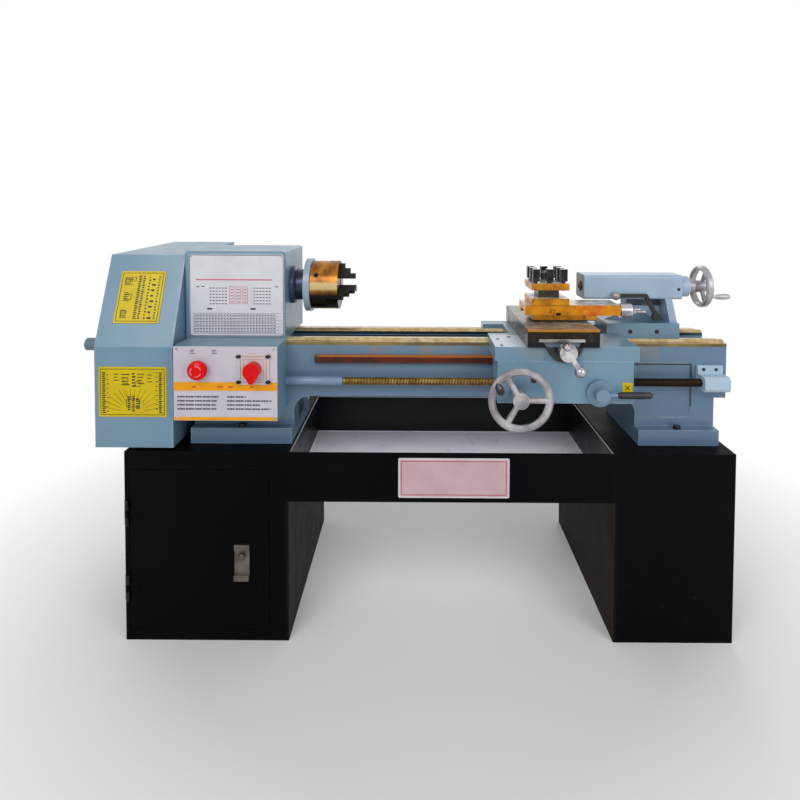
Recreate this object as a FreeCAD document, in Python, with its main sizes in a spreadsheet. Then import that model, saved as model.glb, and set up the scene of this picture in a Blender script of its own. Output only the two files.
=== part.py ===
import FreeCAD, Part
import math
import os

import Sketcher

# An engine lathe on a sheet-metal stand with a chip pan.
# The origin is on the floor, at the centre of the stand's four anchor holes.
# +X runs along the bed to the tailstock, +Y away from the operator, +Z up. All in millimetres.

SIZES = {
    # Clearances shared by all pieces
    "running_gap": 0.3,
    "fit_gap": 0.05,
    "overrun": 2,
    # Stand
    "bed_overhang": 14,
    "stand_deep": 580,
    "stand_tall": 504,
    "sheet": 2.5,
    "stand_top": 4,
    "left_cabinet_long": 429,
    "right_cabinet_long": 313,
    "rear_frame": 40,
    "anchor_in": 60,
    "anchor_radius": 7,
    "rail_tall": 131,
    "rail_lip": 30,
    "pan_deep": 458,
    "pan_tall": 122,
    "pan_sheet": 1.5,
    # Cabinet door
    "door_wide": 364,
    "door_tall": 425,
    "door_thick": 15,
    "door_in": 13,
    "door_up": 30,
    "door_gap": 2,
    "hinge_radius": 5,
    "hinge_pin_radius": 2,
    "hinge_tall": 66,
    "hinge_in": 80,
    "hinge_leaf": 22,
    "latch_wide": 39,
    "latch_tall": 93,
    "latch_thick": 4,
    "latch_in": 50,
    "latch_up": 137,
    "key_radius": 9,
    "key_out": 9,
    "key_up": 62,
    "cam_long": 80,
    "cam_wide": 14,
    "cam_thick": 3,
    "pull_tall": 14,
    "pull_out": 9,
    # Bed
    "axis_set_back": 185,
    "bed_set_in": 133,
    "bed_long": 1477,
    "bed_wide": 200,
    "bed_tall": 271,
    "bed_beam": 150,
    "way_wide": 65,
    "way_thick": 25,
    "web_thick": 16,
    "web_slope": 20,
    "ridge_tall": 7,
    "ridge_half": 8,
    "front_ridge_in": 22,
    "rear_ridge_in": 54,
    "rib_thick": 12,
    "rib_down": 14,
    "foot_left_in": 21,
    "foot_left_long": 272,
    "foot_right_in": 32,
    "foot_right_long": 216,
    "foot_wall": 14,
    "flange_out": 31,
    "flange_tall": 42,
    "arch_radius": 45,
    "recess_deep": 3,
    "recess_long": 150,
    "recess_tall": 150,
    "recess_in": 97,
    "recess_down": 55,
    "bolt_radius": 6,
    "bolt_head_radius": 10,
    "bolt_head_tall": 8,
    "bolt_out": 18,
    # Rack and lead screw
    "rack_thick": 15,
    "rack_tall": 22,
    "rack_down": 35,
    "rack_gap": 80,
    "rack_in": 262,
    "rack_module": 2,
    "screw_radius": 11,
    "screw_out": 27,
    "screw_down": 100,
    "sleeve_radius": 12,
    "screw_hole_gap": 4,
    "sleeve_long": 167,
    "bracket_long": 68,
    "bracket_tall": 40,
    "bracket_in": 14,
    "bracket_deep": 26,
    "bracket_chamfer": 8,
    "bracket_end_wall": 14,
    "bracket_plate_up": 41,
    "bracket_plate_thick": 10,
    # Headstock
    "centre_height": 143,
    "head_overhang": 8,
    "head_long": 276,
    "head_front_out": 5,
    "head_deep": 252,
    "head_tall": 246,
    "head_wall": 10,
    "head_end_wall": 24,
    "cover_thick": 12,
    "cover_round": 8,
    "bore_radius": 19,
    "spindle_radius": 27,
    "bearing_radius": 42,
    "bearing_wide": 20,
    "cap_radius": 54,
    "cap_thick": 17,
    "cap_bore": 31,
    "nose_radius": 44,
    "nose_long": 27,
    # Chuck
    "backplate_radius": 76,
    "backplate_thick": 17,
    "chuck_radius": 69,
    "chuck_long": 78,
    "chuck_bore": 17,
    "chuck_front": 27,
    "chuck_rim": 9,
    "jaw_wide": 14,
    "jaw_inner": 18,
    "jaw_deep": 44,
    "jaw_step": 15,
    "jaw_out": 45,
    "jaw_step_out": 15,
    "scroll_thick": 18,
    "pinion_radius": 7,
    "pinion_long": 24,
    "pinion_back": 18,
    "key_socket": 7,
    "key_socket_deep": 12,
    # End guard
    "guard_long": 202,
    "guard_sheet": 2.5,
    "guard_bottom_up": 6,
    "guard_fold_up": 272,
    "guard_top_over_axis": 92,
    "guard_rear_rise": 8,
    "guard_front": 175,
    "guard_top_front": 80,
    "guard_back": 339,
    "guard_hole": 25,
    "guard_plate": 3,
    "guard_knob_front": 95,
    "guard_knob_down": 154,
    "guard_knob_radius": 17,
    "guard_knob_long": 66,
    "guard_stud_radius": 7,
    "guard_arm_thick": 6,
    "guard_screw_radius": 4,
    "guard_stud_gap": 12,
    # Drive and change gears
    "gear_module": 3,
    "spindle_teeth": 30,
    "idler_teeth": 66,
    "screw_teeth": 24,
    "gear_wide": 15,
    "gear_in": 44,
    "idler_bore": 12,
    "hub_long": 12,
    "quadrant_wide": 40,
    "quadrant_thick": 8,
    "quadrant_in": 14,
    "pulley_in": 106,
    "pulley_wide": 16,
    "pulley_lip": 4,
    "pulley_radius": 75,
    "motor_pulley_radius": 35,
    "belt_thick": 6,
    "motor_radius": 75,
    "motor_long": 190,
    "motor_in": 8,
    "motor_back": 255,
    "motor_shaft": 10,
    "motor_foot_wide": 130,
    "motor_foot_tall": 26.8,
    "motor_fan_long": 34,
    "motor_fan_radius": 68,
    # Control box
    "box_in": 13,
    "box_long": 267,
    "box_deep": 99,
    "box_tall": 192,
    "box_up": 89,
    "box_wall": 4,
    "panel_thick": 3,
    "stop_in": 68,
    "stop_down": 57,
    "stop_radius": 25,
    "stop_out": 29,
    "stop_cap": 15,
    "stop_stem": 9,
    "stop_collar": 17,
    "stop_collar_out": 8,
    "switch_in": 207,
    "switch_down": 57,
    "switch_plate": 80,
    "switch_plate_thick": 4,
    "switch_radius": 21,
    "switch_out": 30,
    "switch_stem": 5,
    "switch_screw_in": 9,
    "switch_screw_radius": 4,
    # Carriage
    "carriage_in": 282,
    "saddle_long": 366,
    "saddle_front": 215,
    "saddle_back": 110,
    "saddle_tall": 17,
    "saddle_skirt": 20,
    "bridge_in": 60,
    "bridge_long": 222,
    "wing_front": 60,
    "wing_back": 60,
    "apron_in": 7,
    "apron_long": 345,
    "apron_tall": 108,
    "apron_deep": 98,
    "apron_wall": 10,
    "wheel_along": 57,
    "wheel_out": 50,
    "wheel_radius": 80,
    "rim_thick": 18,
    "rim_wide": 17,
    "wheel_hub": 20,
    "wheel_hub_long": 34,
    "spoke_radius": 7.5,
    "wheel_shaft": 8,
    "wheel_teeth": 16,
    "reduction_teeth": 56,
    "apron_module": 1.5,
    "apron_gear_wide": 9,
    "apron_gear_in": 8,
    "pinion_teeth": 14,
    "wheel_shaft_down": 104,
    "handle_radius": 10,
    "handle_long": 62,
    "half_nut_along": 266,
    "half_nut_long": 50,
    "half_nut_deep": 30,
    "half_nut_floor": 3,
    "half_nut_travel": 3,
    "nut_disc_radius": 34,
    "nut_disc_thick": 8,
    "nut_hub_radius": 18,
    "nut_hub_long": 24,
    "nut_shaft": 8,
    "nut_lever_long": 126,
    "nut_lever_radius": 5,
    "nut_grip_radius": 9,
    "nut_grip_long": 86,
    # Cross slide
    "slide_in": 80,
    "slide_long": 182,
    "slide_front": 225,
    "slide_back": 123,
    "slide_tall": 46,
    "dovetail_half": 50,
    "dovetail_tall": 13,
    "dovetail_lean": 8,
    "cross_in": 173,
    "cross_up": 13,
    "cross_radius": 6,
    "cross_channel": 13,
    "cross_nut_long": 30,
    "cross_nut_back": 10,
    "cross_boss": 30,
    "cross_plate_radius": 47,
    "cross_plate_rise": 10,
    "cross_plate_thick": 12,
    "cross_dial_radius": 22,
    "cross_dial_long": 22,
    "crank_reach": 52,
    "crank_thick": 8,
    "crank_wide": 12,
    "ball_radius": 14,
    "crank_grip_radius": 8,
    "crank_grip_long": 30,
    "crank_grip_reach": 24,
    # Compound slide
    "swivel_in": 156,
    "swivel_front": 90,
    "swivel_radius": 48,
    "swivel_tall": 4,
    "compound_long": 170,
    "compound_left": 45,
    "compound_wide": 88,
    "compound_tall": 14,
    "rest_long": 255,
    "rest_left": 66,
    "rest_wide": 90,
    "rest_tall": 28,
    "rest_dovetail_half": 24,
    "rest_dovetail_tall": 11.5,
    "rest_tongue_in": 16,
    "rest_wall": 12,
    "rest_screw_up": 6,
    "rest_screw_radius": 5,
    "rest_dial_radius": 20,
    "rest_dial_long": 42,
    "rest_crank_wide": 8,
    "rest_crank_reach": 18,
    "rest_grip_radius": 4,
    "rest_grip_long": 30,
    # Toolpost
    "post_wide": 100,
    "post_slab": 18,
    "post_slot": 22,
    "post_core": 56,
    "post_bolt_radius": 5,
    "post_bolt_head": 18,
    "post_bolt_neck": 5,
    "post_bolt_up": 38,
    "post_bolt_in": 13,
    "post_stud": 11,
    "post_nut": 17,
    "post_nut_tall": 24,
    "post_washer": 4,
    # Tailstock
    "tail_in": 109,
    "tail_base_long": 204,
    "tail_base_tall": 45,
    "tail_base_wide": 110,
    "tail_base_rise": 12,
    "barrel_back": 61,
    "barrel_long": 278,
    "barrel_wide": 80,
    "barrel_below": 33,
    "barrel_above": 36,
    "tail_web_in": 76,
    "tail_web_front": 7,
    "tail_rib_in": 28,
    "tail_rib_thick": 20,
    "quill_radius": 14,
    "quill_long": 200,
    "quill_out": 3,
    "taper_radius": 8.9,
    "taper_end": 7.2,
    "taper_long": 64,
    "tail_screw_radius": 6,
    "tail_screw_long": 178,
    "tail_boss_radius": 30,
    "tail_boss_long": 29,
    "tail_wheel_out": 43,
    "tail_wheel_radius": 60,
    "tail_rim": 13,
    "tail_rim_wide": 19,
    "tail_spoke_radius": 6,
    "tail_hub": 17,
    "tail_handle_long": 48,
    "tail_handle_radius": 8.5,
    "tail_lever_along": 141,
    "tail_lever_front": 10,
    "tail_lever_radius": 5,
    "tail_lever_hub": 12,
    "tail_lever_up": 62,
    "tail_lever_ball": 12,
    "tail_lever_reach": 116,
    "tail_lever_lift": 60,
    "clamp_thick": 16,
    "clamp_long": 90,
    "clamp_wide": 110,
    "clamp_bolt": 8,
}

# Profiles of turned pieces, as (share of the length, share of the radius)
GRIP_SHARES = ((0, 0.55), (0.12, 0.6), (0.3, 0.9), (0.65, 1), (0.9, 0.85), (1, 0.45))
LEVER_GRIP_SHARES = ((0, 0.5), (0.05, 0.85), (0.25, 1), (0.9, 0.95), (1, 0.7))
GUARD_KNOB_SHARES = ((1, 0.7), (0.94, 1), (0.45, 1), (0.35, 0.55), (0.1, 0.55), (0.1, 0.8))
STOP_CAP_SHARES = ((0, 0.6), (0.25, 0.9), (0.6, 1), (1, 1))
# Single shares of a size that a shape follows
RIM_CORNER_SHARE = 0.3
KEY_TIP_SHARE = 0.8
KEY_EDGE_SHARE = 0.7
CAP_EDGE_SHARE = 0.3
WASHER_SHARE = 0.9
STUD_SHARE = 0.6
MOTOR_END_SHARE = 0.8
SCREW_HEAD_SHARE = 1.5
SWITCH_NOSE_SHARES = (0.8, 0.5, 1.5)
DIAL_BACK_SHARE = 0.75
DIAL_NECK_SHARE = 0.6
CRANK_HUB_SHARE = 1.5
REST_CHANNEL_SHARE = 1.6
REST_DEPTH_SHARE = 1.2
REST_NECK_SHARE = 0.7
REST_NECK_LONG_SHARE = 0.3
TAIL_COLLAR_SHARE = 1.3
TAIL_COLLAR_LONG_SHARE = 0.6
KNEE_SHARE = 0.7
STRAIGHT_SHARE = 0.999
TOOTH_SHARE = 0.42
ADDENDUM_SHARE = 0.9
DEDENDUM_SHARE = 1.2
FLANK_SHARE = 0.36
SPOKE_ANGLES = (0, 120, 240)
HANDLE_ANGLE = 145
TAIL_HANDLE_ANGLE = 205
CRANK_ANGLE = 302
THIRD_TURN = 120

Vector = FreeCAD.Vector
Rotation = FreeCAD.Rotation
Placement = FreeCAD.Placement
AXIS_X = Vector(1, 0, 0)
AXIS_Y = Vector(0, 1, 0)
AXIS_Z = Vector(0, 0, 1)


def number_of(value):
    """The number of a size or of a plain number."""
    return value.number if isinstance(value, Size) else float(value)


def text_of(value):
    """The sheet expression of a size or of a plain number."""
    return value.text if isinstance(value, Size) else repr(float(value))


class Size:
    """A length that holds its number and its expression in the sheet."""

    def __init__(self, number, text):
        self.number = float(number)
        self.text = text

    def combine(self, sign, first, second, result):
        return Size(result, f"({text_of(first)} {sign} {text_of(second)})")

    def __add__(self, other):
        return self.combine("+", self, other, self.number + number_of(other))

    def __radd__(self, other):
        return self.combine("+", other, self, number_of(other) + self.number)

    def __sub__(self, other):
        return self.combine("-", self, other, self.number - number_of(other))

    def __rsub__(self, other):
        return self.combine("-", other, self, number_of(other) - self.number)

    def __mul__(self, other):
        return self.combine("*", self, other, self.number * number_of(other))

    def __rmul__(self, other):
        return self.combine("*", other, self, number_of(other) * self.number)

    def __truediv__(self, other):
        return self.combine("/", self, other, self.number / number_of(other))

    def __neg__(self):
        return Size(-self.number, f"(0 - {self.text})")


class Dimensions:
    """Every driving dimension, by name, as a size bound to its sheet cell."""

    def __init__(self, sheet, values):
        for row, (name, value) in enumerate(values.items(), start=1):
            sheet.set(f"A{row}", name)
            sheet.set(f"B{row}", str(value))
            sheet.setAlias(f"B{row}", name)
            setattr(self, name, Size(value, f"Sizes.{name}"))


doc = FreeCAD.newDocument("EngineLathe")
sizes_sheet = doc.addObject("Spreadsheet::Sheet", "Sizes")
d = Dimensions(sizes_sheet, SIZES)
doc.recompute()
nodes = []


# Construction helpers

def node(label, made):
    """Names a finished sub-part and lists it for export."""
    made.Label = label
    nodes.append(made)
    return made


def put(made, x, y, z):
    """Binds the place of an object to three sizes."""
    for letter, size in zip("xyz", (x, y, z)):
        made.setExpression(f"Placement.Base.{letter}", text_of(size))
    return made


def box(x, y, z):
    """A block between pairs of sizes along X, Y and Z."""
    made = doc.addObject("Part::Box", "Block")
    for side, (low, high) in zip(("Length", "Width", "Height"), (x, y, z)):
        made.setExpression(side, text_of(high - low))
    return put(made, x[0], y[0], z[0])


def along(axis, start, across):
    """The three coordinates of a point at start on an axis through across."""
    places = list(across)
    places.insert("xyz".index(axis), start)
    return places


def lay(made, axis):
    """Turns an object built along Z so that it points along the axis."""
    turns = {"x": Rotation(AXIS_Y, 90), "y": Rotation(AXIS_X, -90), "z": Rotation()}
    made.Placement = Placement(Vector(), turns[axis])


def rod(axis, across, run, radius):
    """A cylinder on an axis, between the two places of run."""
    made = doc.addObject("Part::Cylinder", "Rod")
    lay(made, axis)
    made.setExpression("Radius", text_of(radius))
    made.setExpression("Height", text_of(run[1] - run[0]))
    return put(made, *along(axis, run[0], across))


def cone(axis, across, run, start_radius, end_radius):
    """A cone on an axis, from start_radius to end_radius."""
    made = doc.addObject("Part::Cone", "Cone")
    lay(made, axis)
    made.setExpression("Radius1", text_of(start_radius))
    made.setExpression("Radius2", text_of(end_radius))
    made.setExpression("Height", text_of(run[1] - run[0]))
    return put(made, *along(axis, run[0], across))


def ball(centre, radius):
    """A sphere at a centre, with its seam towards the front."""
    made = doc.addObject("Part::Sphere", "Ball")
    made.Placement = Placement(Vector(), Rotation(AXIS_Z, -90))
    made.setExpression("Radius", text_of(radius))
    return put(made, *centre)


def outline(body, role, points):
    """A closed sketch of straight lines whose corners are bound to sizes."""
    sketch = body.newObject("Sketcher::SketchObject", "Outline")
    plane = [part for part in body.Origin.OriginFeatures if part.Role == role][0]
    sketch.AttachmentSupport = [(plane, "")]
    sketch.MapMode = "FlatFace"
    corners = [Vector(number_of(across), number_of(up), 0) for across, up in points]
    count = len(corners)
    for index in range(count):
        sketch.addGeometry(Part.LineSegment(corners[index], corners[(index + 1) % count]), False)
    for index, (across, up) in enumerate(points):
        sketch.addConstraint(Sketcher.Constraint("Coincident", index, 2, (index + 1) % count, 1))
        for kind, size in (("DistanceX", across), ("DistanceY", up)):
            rule = Sketcher.Constraint(kind, -1, 1, index, 1, number_of(size))
            place = sketch.addConstraint(rule)
            sketch.setExpression(f"Constraints[{place}]", text_of(size))
    return sketch


def shared(shares, start, length, radius):
    """A turned outline from (share of the length, share of the radius) pairs, closed on the axis."""
    first = (start + length * shares[0][0], 0)
    last = (start + length * shares[-1][0], 0)
    return [first] + [(start + length * along, radius * across) for along, across in shares] + [last]


def prism(plane, points, run):
    """A padded outline in the xy, xz or yz plane, between two places across it."""
    roles = {"xy": "XY_Plane", "xz": "XZ_Plane", "yz": "YZ_Plane"}
    body = doc.addObject("PartDesign::Body", "Prism")
    sketch = outline(body, roles[plane], points)
    start = -run[1] if plane == "xz" else run[0]
    sketch.setExpression("AttachmentOffset.Base.z", text_of(start))
    pad = body.newObject("PartDesign::Pad", "Pad")
    pad.Profile = sketch
    pad.setExpression("Length", text_of(run[1] - run[0]))
    sketch.Visibility = False
    return body


def turned(axis, across, points):
    """A turned piece: points are (place along the axis, radius)."""
    body = doc.addObject("PartDesign::Body", "Turned")
    sketch = outline(body, "XY_Plane", points)
    turning = body.newObject("PartDesign::Revolution", "Turning")
    turning.Profile = sketch
    turning.ReferenceAxis = (sketch, ["H_Axis"])
    turning.Angle = 360
    sketch.Visibility = False
    turns = {"x": Rotation(), "y": Rotation(AXIS_Z, 90), "z": Rotation(AXIS_Y, -90)}
    body.Placement = Placement(Vector(), turns[axis])
    return put(body, *along(axis, 0, across))


def join(*pieces):
    """One solid from several that meet."""
    made = doc.addObject("Part::MultiFuse", "Joined")
    made.Shapes = list(pieces)
    made.Refine = True
    return made


def cut(base, *tools):
    """A solid with one or more tools taken out of it."""
    made = doc.addObject("Part::Cut", "Cut")
    made.Base = base
    made.Tool = tools[0] if len(tools) == 1 else join(*tools)
    return made


def group(*pieces):
    """Separate solids that share a node."""
    made = doc.addObject("Part::Compound", "Group")
    made.Links = list(pieces)
    return made


def spin(made, axis, across, angle):
    """Turns a whole object by an angle about an axis through across."""
    turned_by = Rotation({"x": AXIS_X, "y": AXIS_Y, "z": AXIS_Z}[axis], angle)
    wrap = doc.addObject("Part::Compound", "Turned")
    wrap.Links = [made]
    wrap.Placement = Placement(Vector(), turned_by)
    cosine = math.cos(math.radians(angle))
    sine = math.sin(math.radians(angle))
    first, second = across
    if axis == "x":
        return put(wrap, 0, first - first * cosine + second * sine, second - first * sine - second * cosine)
    if axis == "y":
        return put(wrap, first - first * cosine - second * sine, 0, second + first * sine - second * cosine)
    return put(wrap, first - first * cosine + second * sine, second - first * sine - second * cosine, 0)


def soften(base, radius, wanted):
    """Rounds the edges of base for which wanted(edge) is true."""
    doc.recompute()
    made = doc.addObject("Part::Fillet", "Softened")
    made.Base = base
    size = number_of(radius)
    made.Edges = [(index, size, size) for index,
                  edge in enumerate(base.Shape.Edges, start=1) if wanted(edge)]
    return made


def runs_along(axis):
    """Tells straight edges along an axis."""
    def wanted(edge):
        if not isinstance(edge.Curve, Part.Line):
            return False
        return abs(edge.Curve.Direction.dot(axis)) > STRAIGHT_SHARE
    return wanted


def shape_node(label, shape):
    """A sub-part whose shape no primitive or sketch gives, such as a toothed wheel."""
    made = doc.addObject("Part::Feature", "Shaped")
    made.Shape = shape
    if label:
        return node(label, made)
    return made


# Toothed wheels

def tooth_half_widths(module):
    """Half the width of a tooth at its tip and at its root."""
    pitch_half = TOOTH_SHARE * math.pi * module / 2
    tip = pitch_half - ADDENDUM_SHARE * module * FLANK_SHARE
    root = pitch_half + DEDENDUM_SHARE * module * FLANK_SHARE
    return tip, root


def gear_shape(teeth, module, run, across, phase, bore):
    """A straight-toothed wheel on an axis along X, with a tooth at the angle phase."""
    tip, root = tooth_half_widths(module)
    pitch_radius = module * teeth / 2
    tip_radius = pitch_radius + ADDENDUM_SHARE * module
    root_radius = pitch_radius - DEDENDUM_SHARE * module
    corners = []
    for index in range(teeth):
        middle = phase + 2 * math.pi * index / teeth
        for radius, half in ((root_radius, -root), (tip_radius, -tip), (tip_radius, tip),
                             (root_radius, root)):
            angle = middle + half / radius
            corners.append(Vector(run[0], across[0] + radius * math.cos(angle),
                                  across[1] + radius * math.sin(angle)))
    face = Part.Face(Part.makePolygon(corners + corners[:1]))
    wheel = face.extrude(Vector(run[1] - run[0], 0, 0))
    hole = Part.makeCylinder(bore, run[1] - run[0], Vector(run[0], across[0], across[1]), AXIS_X)
    return wheel.cut(hole)


def mesh_phase(teeth, phase, direction, mate_teeth):
    """The phase of a wheel's mate, so that its gap faces the wheel's tooth."""
    return direction + math.pi + math.pi / mate_teeth - (phase - direction) * teeth / mate_teeth


# Places worked out from the sizes

stand_long = d.bed_set_in + d.bed_long - d.bed_overhang
stand_left = -stand_long / 2
stand_right = stand_long / 2
stand_front = -d.stand_deep / 2
stand_back = d.stand_deep / 2
pan_left = stand_left + d.left_cabinet_long
pan_right = stand_right - d.right_cabinet_long
rail_bottom = d.stand_tall - d.rail_tall
axis_y = stand_front + d.axis_set_back
bed_top = d.stand_tall + d.bed_tall
bed_bottom = bed_top - d.bed_beam
axis_z = bed_top + d.centre_height
bed_left = stand_left + d.bed_set_in
bed_right = bed_left + d.bed_long
bed_front = axis_y - d.bed_wide / 2
bed_back = axis_y + d.bed_wide / 2
head_left = bed_left - d.head_overhang
head_right = head_left + d.head_long
head_front = bed_front + d.head_front_out
head_back = head_front + d.head_deep
head_top = bed_top + d.head_tall
plate_left = head_left - d.guard_plate
guard_left = plate_left - d.guard_long
screw_y = bed_front - d.screw_out
screw_z = bed_top - d.screw_down
spindle_axis = (axis_y, axis_z)
screw_axis = (screw_y, screw_z)
saddle_right = bed_right - d.carriage_in
saddle_left = saddle_right - d.saddle_long
saddle_top = bed_top + d.saddle_tall
saddle_front = axis_y - d.saddle_front
tail_right = bed_right - d.tail_in
tail_left = tail_right - d.tail_base_long


def foot_places():
    """Left and right ends of the bed's two feet."""
    left = bed_left + d.foot_left_in
    right = bed_right - d.foot_right_in
    return ((left, left + d.foot_left_long), (right - d.foot_right_long, right))


def bolt_places():
    """Centres of the bolts that hold the feet down."""
    spots = []
    for low, high in foot_places():
        for y in (bed_front - d.bolt_out, bed_back + d.bolt_out):
            spots.append(((low + high) / 2, y))
    return spots


# Stand

def make_stand():
    """Two sheet-metal cabinets, the rails between them and the chip pan."""
    mouth = box(
        (door_left - d.door_gap, door_right + d.door_gap),
        (stand_front - d.overrun, stand_front + d.overrun * 2),
        (door_bottom - d.door_gap, door_top + d.door_gap))
    node("left_cabinet", cabinet(stand_left, pan_left, "front", mouth))
    mouth = box(
        (pan_right + d.rear_frame, stand_right - d.rear_frame),
        (stand_back - d.sheet * 2, stand_back + d.overrun),
        (d.rear_frame, d.stand_tall - d.rear_frame))
    node("right_cabinet", cabinet(pan_right, stand_right, "back", mouth))
    front = stand_front
    back = stand_front + d.sheet + d.pan_deep
    low = rail_bottom
    front_rail = prism("yz", [
        (front, low), (front + d.rail_lip, low), (front + d.rail_lip, low + d.sheet),
        (front + d.sheet, low + d.sheet), (front + d.sheet, d.stand_tall), (front, d.stand_tall)],
        (pan_left, pan_right))
    back_rail = prism("yz", [
        (back + d.sheet, low), (back - d.rail_lip, low), (back - d.rail_lip, low + d.sheet),
        (back, low + d.sheet), (back, d.stand_tall), (back + d.sheet, d.stand_tall)],
        (pan_left, pan_right))
    node("stand_rails", group(front_rail, back_rail))
    floor = low + d.sheet
    node("chip_pan", cut(
        box((pan_left, pan_right), (front + d.sheet, back), (floor, floor + d.pan_tall)),
        box((pan_left + d.pan_sheet, pan_right - d.pan_sheet),
            (front + d.sheet + d.pan_sheet, back - d.pan_sheet),
            (floor + d.pan_sheet, floor + d.pan_tall + d.overrun))))


def cabinet(left, right, open_side, mouth):
    """A cabinet welded from six panels that meet face to face, with a mouth cut in one of them."""
    deep = (stand_front, stand_back)
    between = (d.sheet, d.stand_tall - d.stand_top)
    inner = (left + d.sheet, right - d.sheet)
    outer = left + d.anchor_in if left is stand_left else right - d.anchor_in
    anchors = [rod("z", (outer, y), (-d.overrun, d.sheet + d.overrun), d.anchor_radius)
               for y in (stand_front + d.anchor_in, stand_back - d.anchor_in)]
    run = (d.stand_tall - d.stand_top - d.overrun, d.stand_tall + d.overrun)
    bolts = [rod("z", (x, y), run, d.bolt_radius)
             for x, y in bolt_places() if left.number < x.number < right.number]
    sides = {
        "front": box(inner, (stand_front, stand_front + d.sheet), between),
        "back": box(inner, (stand_back - d.sheet, stand_back), between)}
    sides[open_side] = cut(sides[open_side], mouth)
    return group(
        cut(box((left, right), deep, (0, d.sheet)), *anchors),
        cut(box((left, right), deep, (d.stand_tall - d.stand_top, d.stand_tall)), *bolts),
        box((left, left + d.sheet), deep, between),
        box((right - d.sheet, right), deep, between),
        sides["front"], sides["back"])


door_left = stand_left + d.door_in
door_right = door_left + d.door_wide
door_bottom = d.door_up
door_top = d.door_up + d.door_tall
hinge_axis = (door_left - d.hinge_radius, stand_front - d.hinge_radius)
key_axis_x = door_right - d.latch_in - d.latch_wide / 2


def make_door():
    """The left cabinet's door, on two pin hinges, with a pull plate and a turning latch."""
    front = stand_front
    tray = cut(
        box((door_left, door_right), (front, front + d.door_thick), (door_bottom, door_top)),
        box((door_left + d.sheet, door_right - d.sheet), (front + d.sheet, front + d.door_thick + d.overrun),
            (door_bottom + d.sheet, door_top - d.sheet)),
        rod("y", (key_axis_x, key_axis_z), (front - d.overrun, front + d.sheet + d.overrun), d.key_radius))
    knuckles = []
    leaves = []
    fixed = []
    third = d.hinge_tall / 3
    for low in (door_bottom + d.hinge_in, door_top - d.hinge_in - d.hinge_tall):
        middle = (low + third + d.running_gap, low + third * 2 - d.running_gap)
        knuckles.append(rod("z", hinge_axis, middle, d.hinge_radius))
        leaves.append(box((hinge_axis[0], door_left + d.hinge_leaf), (front - d.hinge_pin_radius, front),
                          middle))
        whole = (low, low + d.hinge_tall)
        strip = box((stand_left, hinge_axis[0]), (front - d.hinge_pin_radius, front), whole)
        gap = (low + third, low + third * 2)
        ring = rod("z", hinge_axis, whole, d.hinge_radius)
        swing = rod("z", hinge_axis, gap, d.hinge_radius + d.running_gap)
        pin = rod("z", hinge_axis, whole, d.hinge_pin_radius)
        fixed.append(join(cut(join(strip, ring), swing), pin))
    bore = [rod("z", hinge_axis, (door_bottom, door_top), d.hinge_pin_radius + d.fit_gap)]
    node("cabinet_door", cut(join(tray, *knuckles, *leaves), *bore))
    node("door_hinges", group(*fixed))
    latch_left = door_right - d.latch_in - d.latch_wide
    latch_right = latch_left + d.latch_wide
    low = door_bottom + d.latch_up
    plate = box((latch_left, latch_right), (front - d.latch_thick, front), (low, low + d.latch_tall))
    pull = box((latch_left, latch_right), (front - d.latch_thick - d.pull_out, front - d.latch_thick),
               (low, low + d.pull_tall))
    bead = box((latch_left, latch_right), (front - d.latch_thick * 2, front - d.latch_thick),
               (low + d.latch_tall - d.pull_tall, low + d.latch_tall))
    hole = rod("y", (key_axis_x, key_axis_z), (front - d.latch_thick - d.overrun, front), d.key_radius)
    node("door_latch", cut(join(plate, pull, bead), hole))
    back = front + d.door_thick + d.running_gap
    stem_radius = d.key_radius - d.running_gap
    knob = turned("y", (key_axis_x, key_axis_z), [
        (front - d.latch_thick - d.key_out, 0),
        (front - d.latch_thick - d.key_out, stem_radius * KEY_TIP_SHARE),
        (front - d.latch_thick - d.key_out * KEY_EDGE_SHARE, stem_radius), (back + d.cam_thick, stem_radius),
        (back + d.cam_thick, 0)])
    cam = box((key_axis_x - d.cam_wide / 2, key_axis_x + d.cam_wide / 2), (back, back + d.cam_thick),
              (key_axis_z - d.cam_long, key_axis_z))
    node("latch_key", join(knob, cam))


key_axis_z = door_bottom + d.latch_up + d.key_up


# Bed

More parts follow.
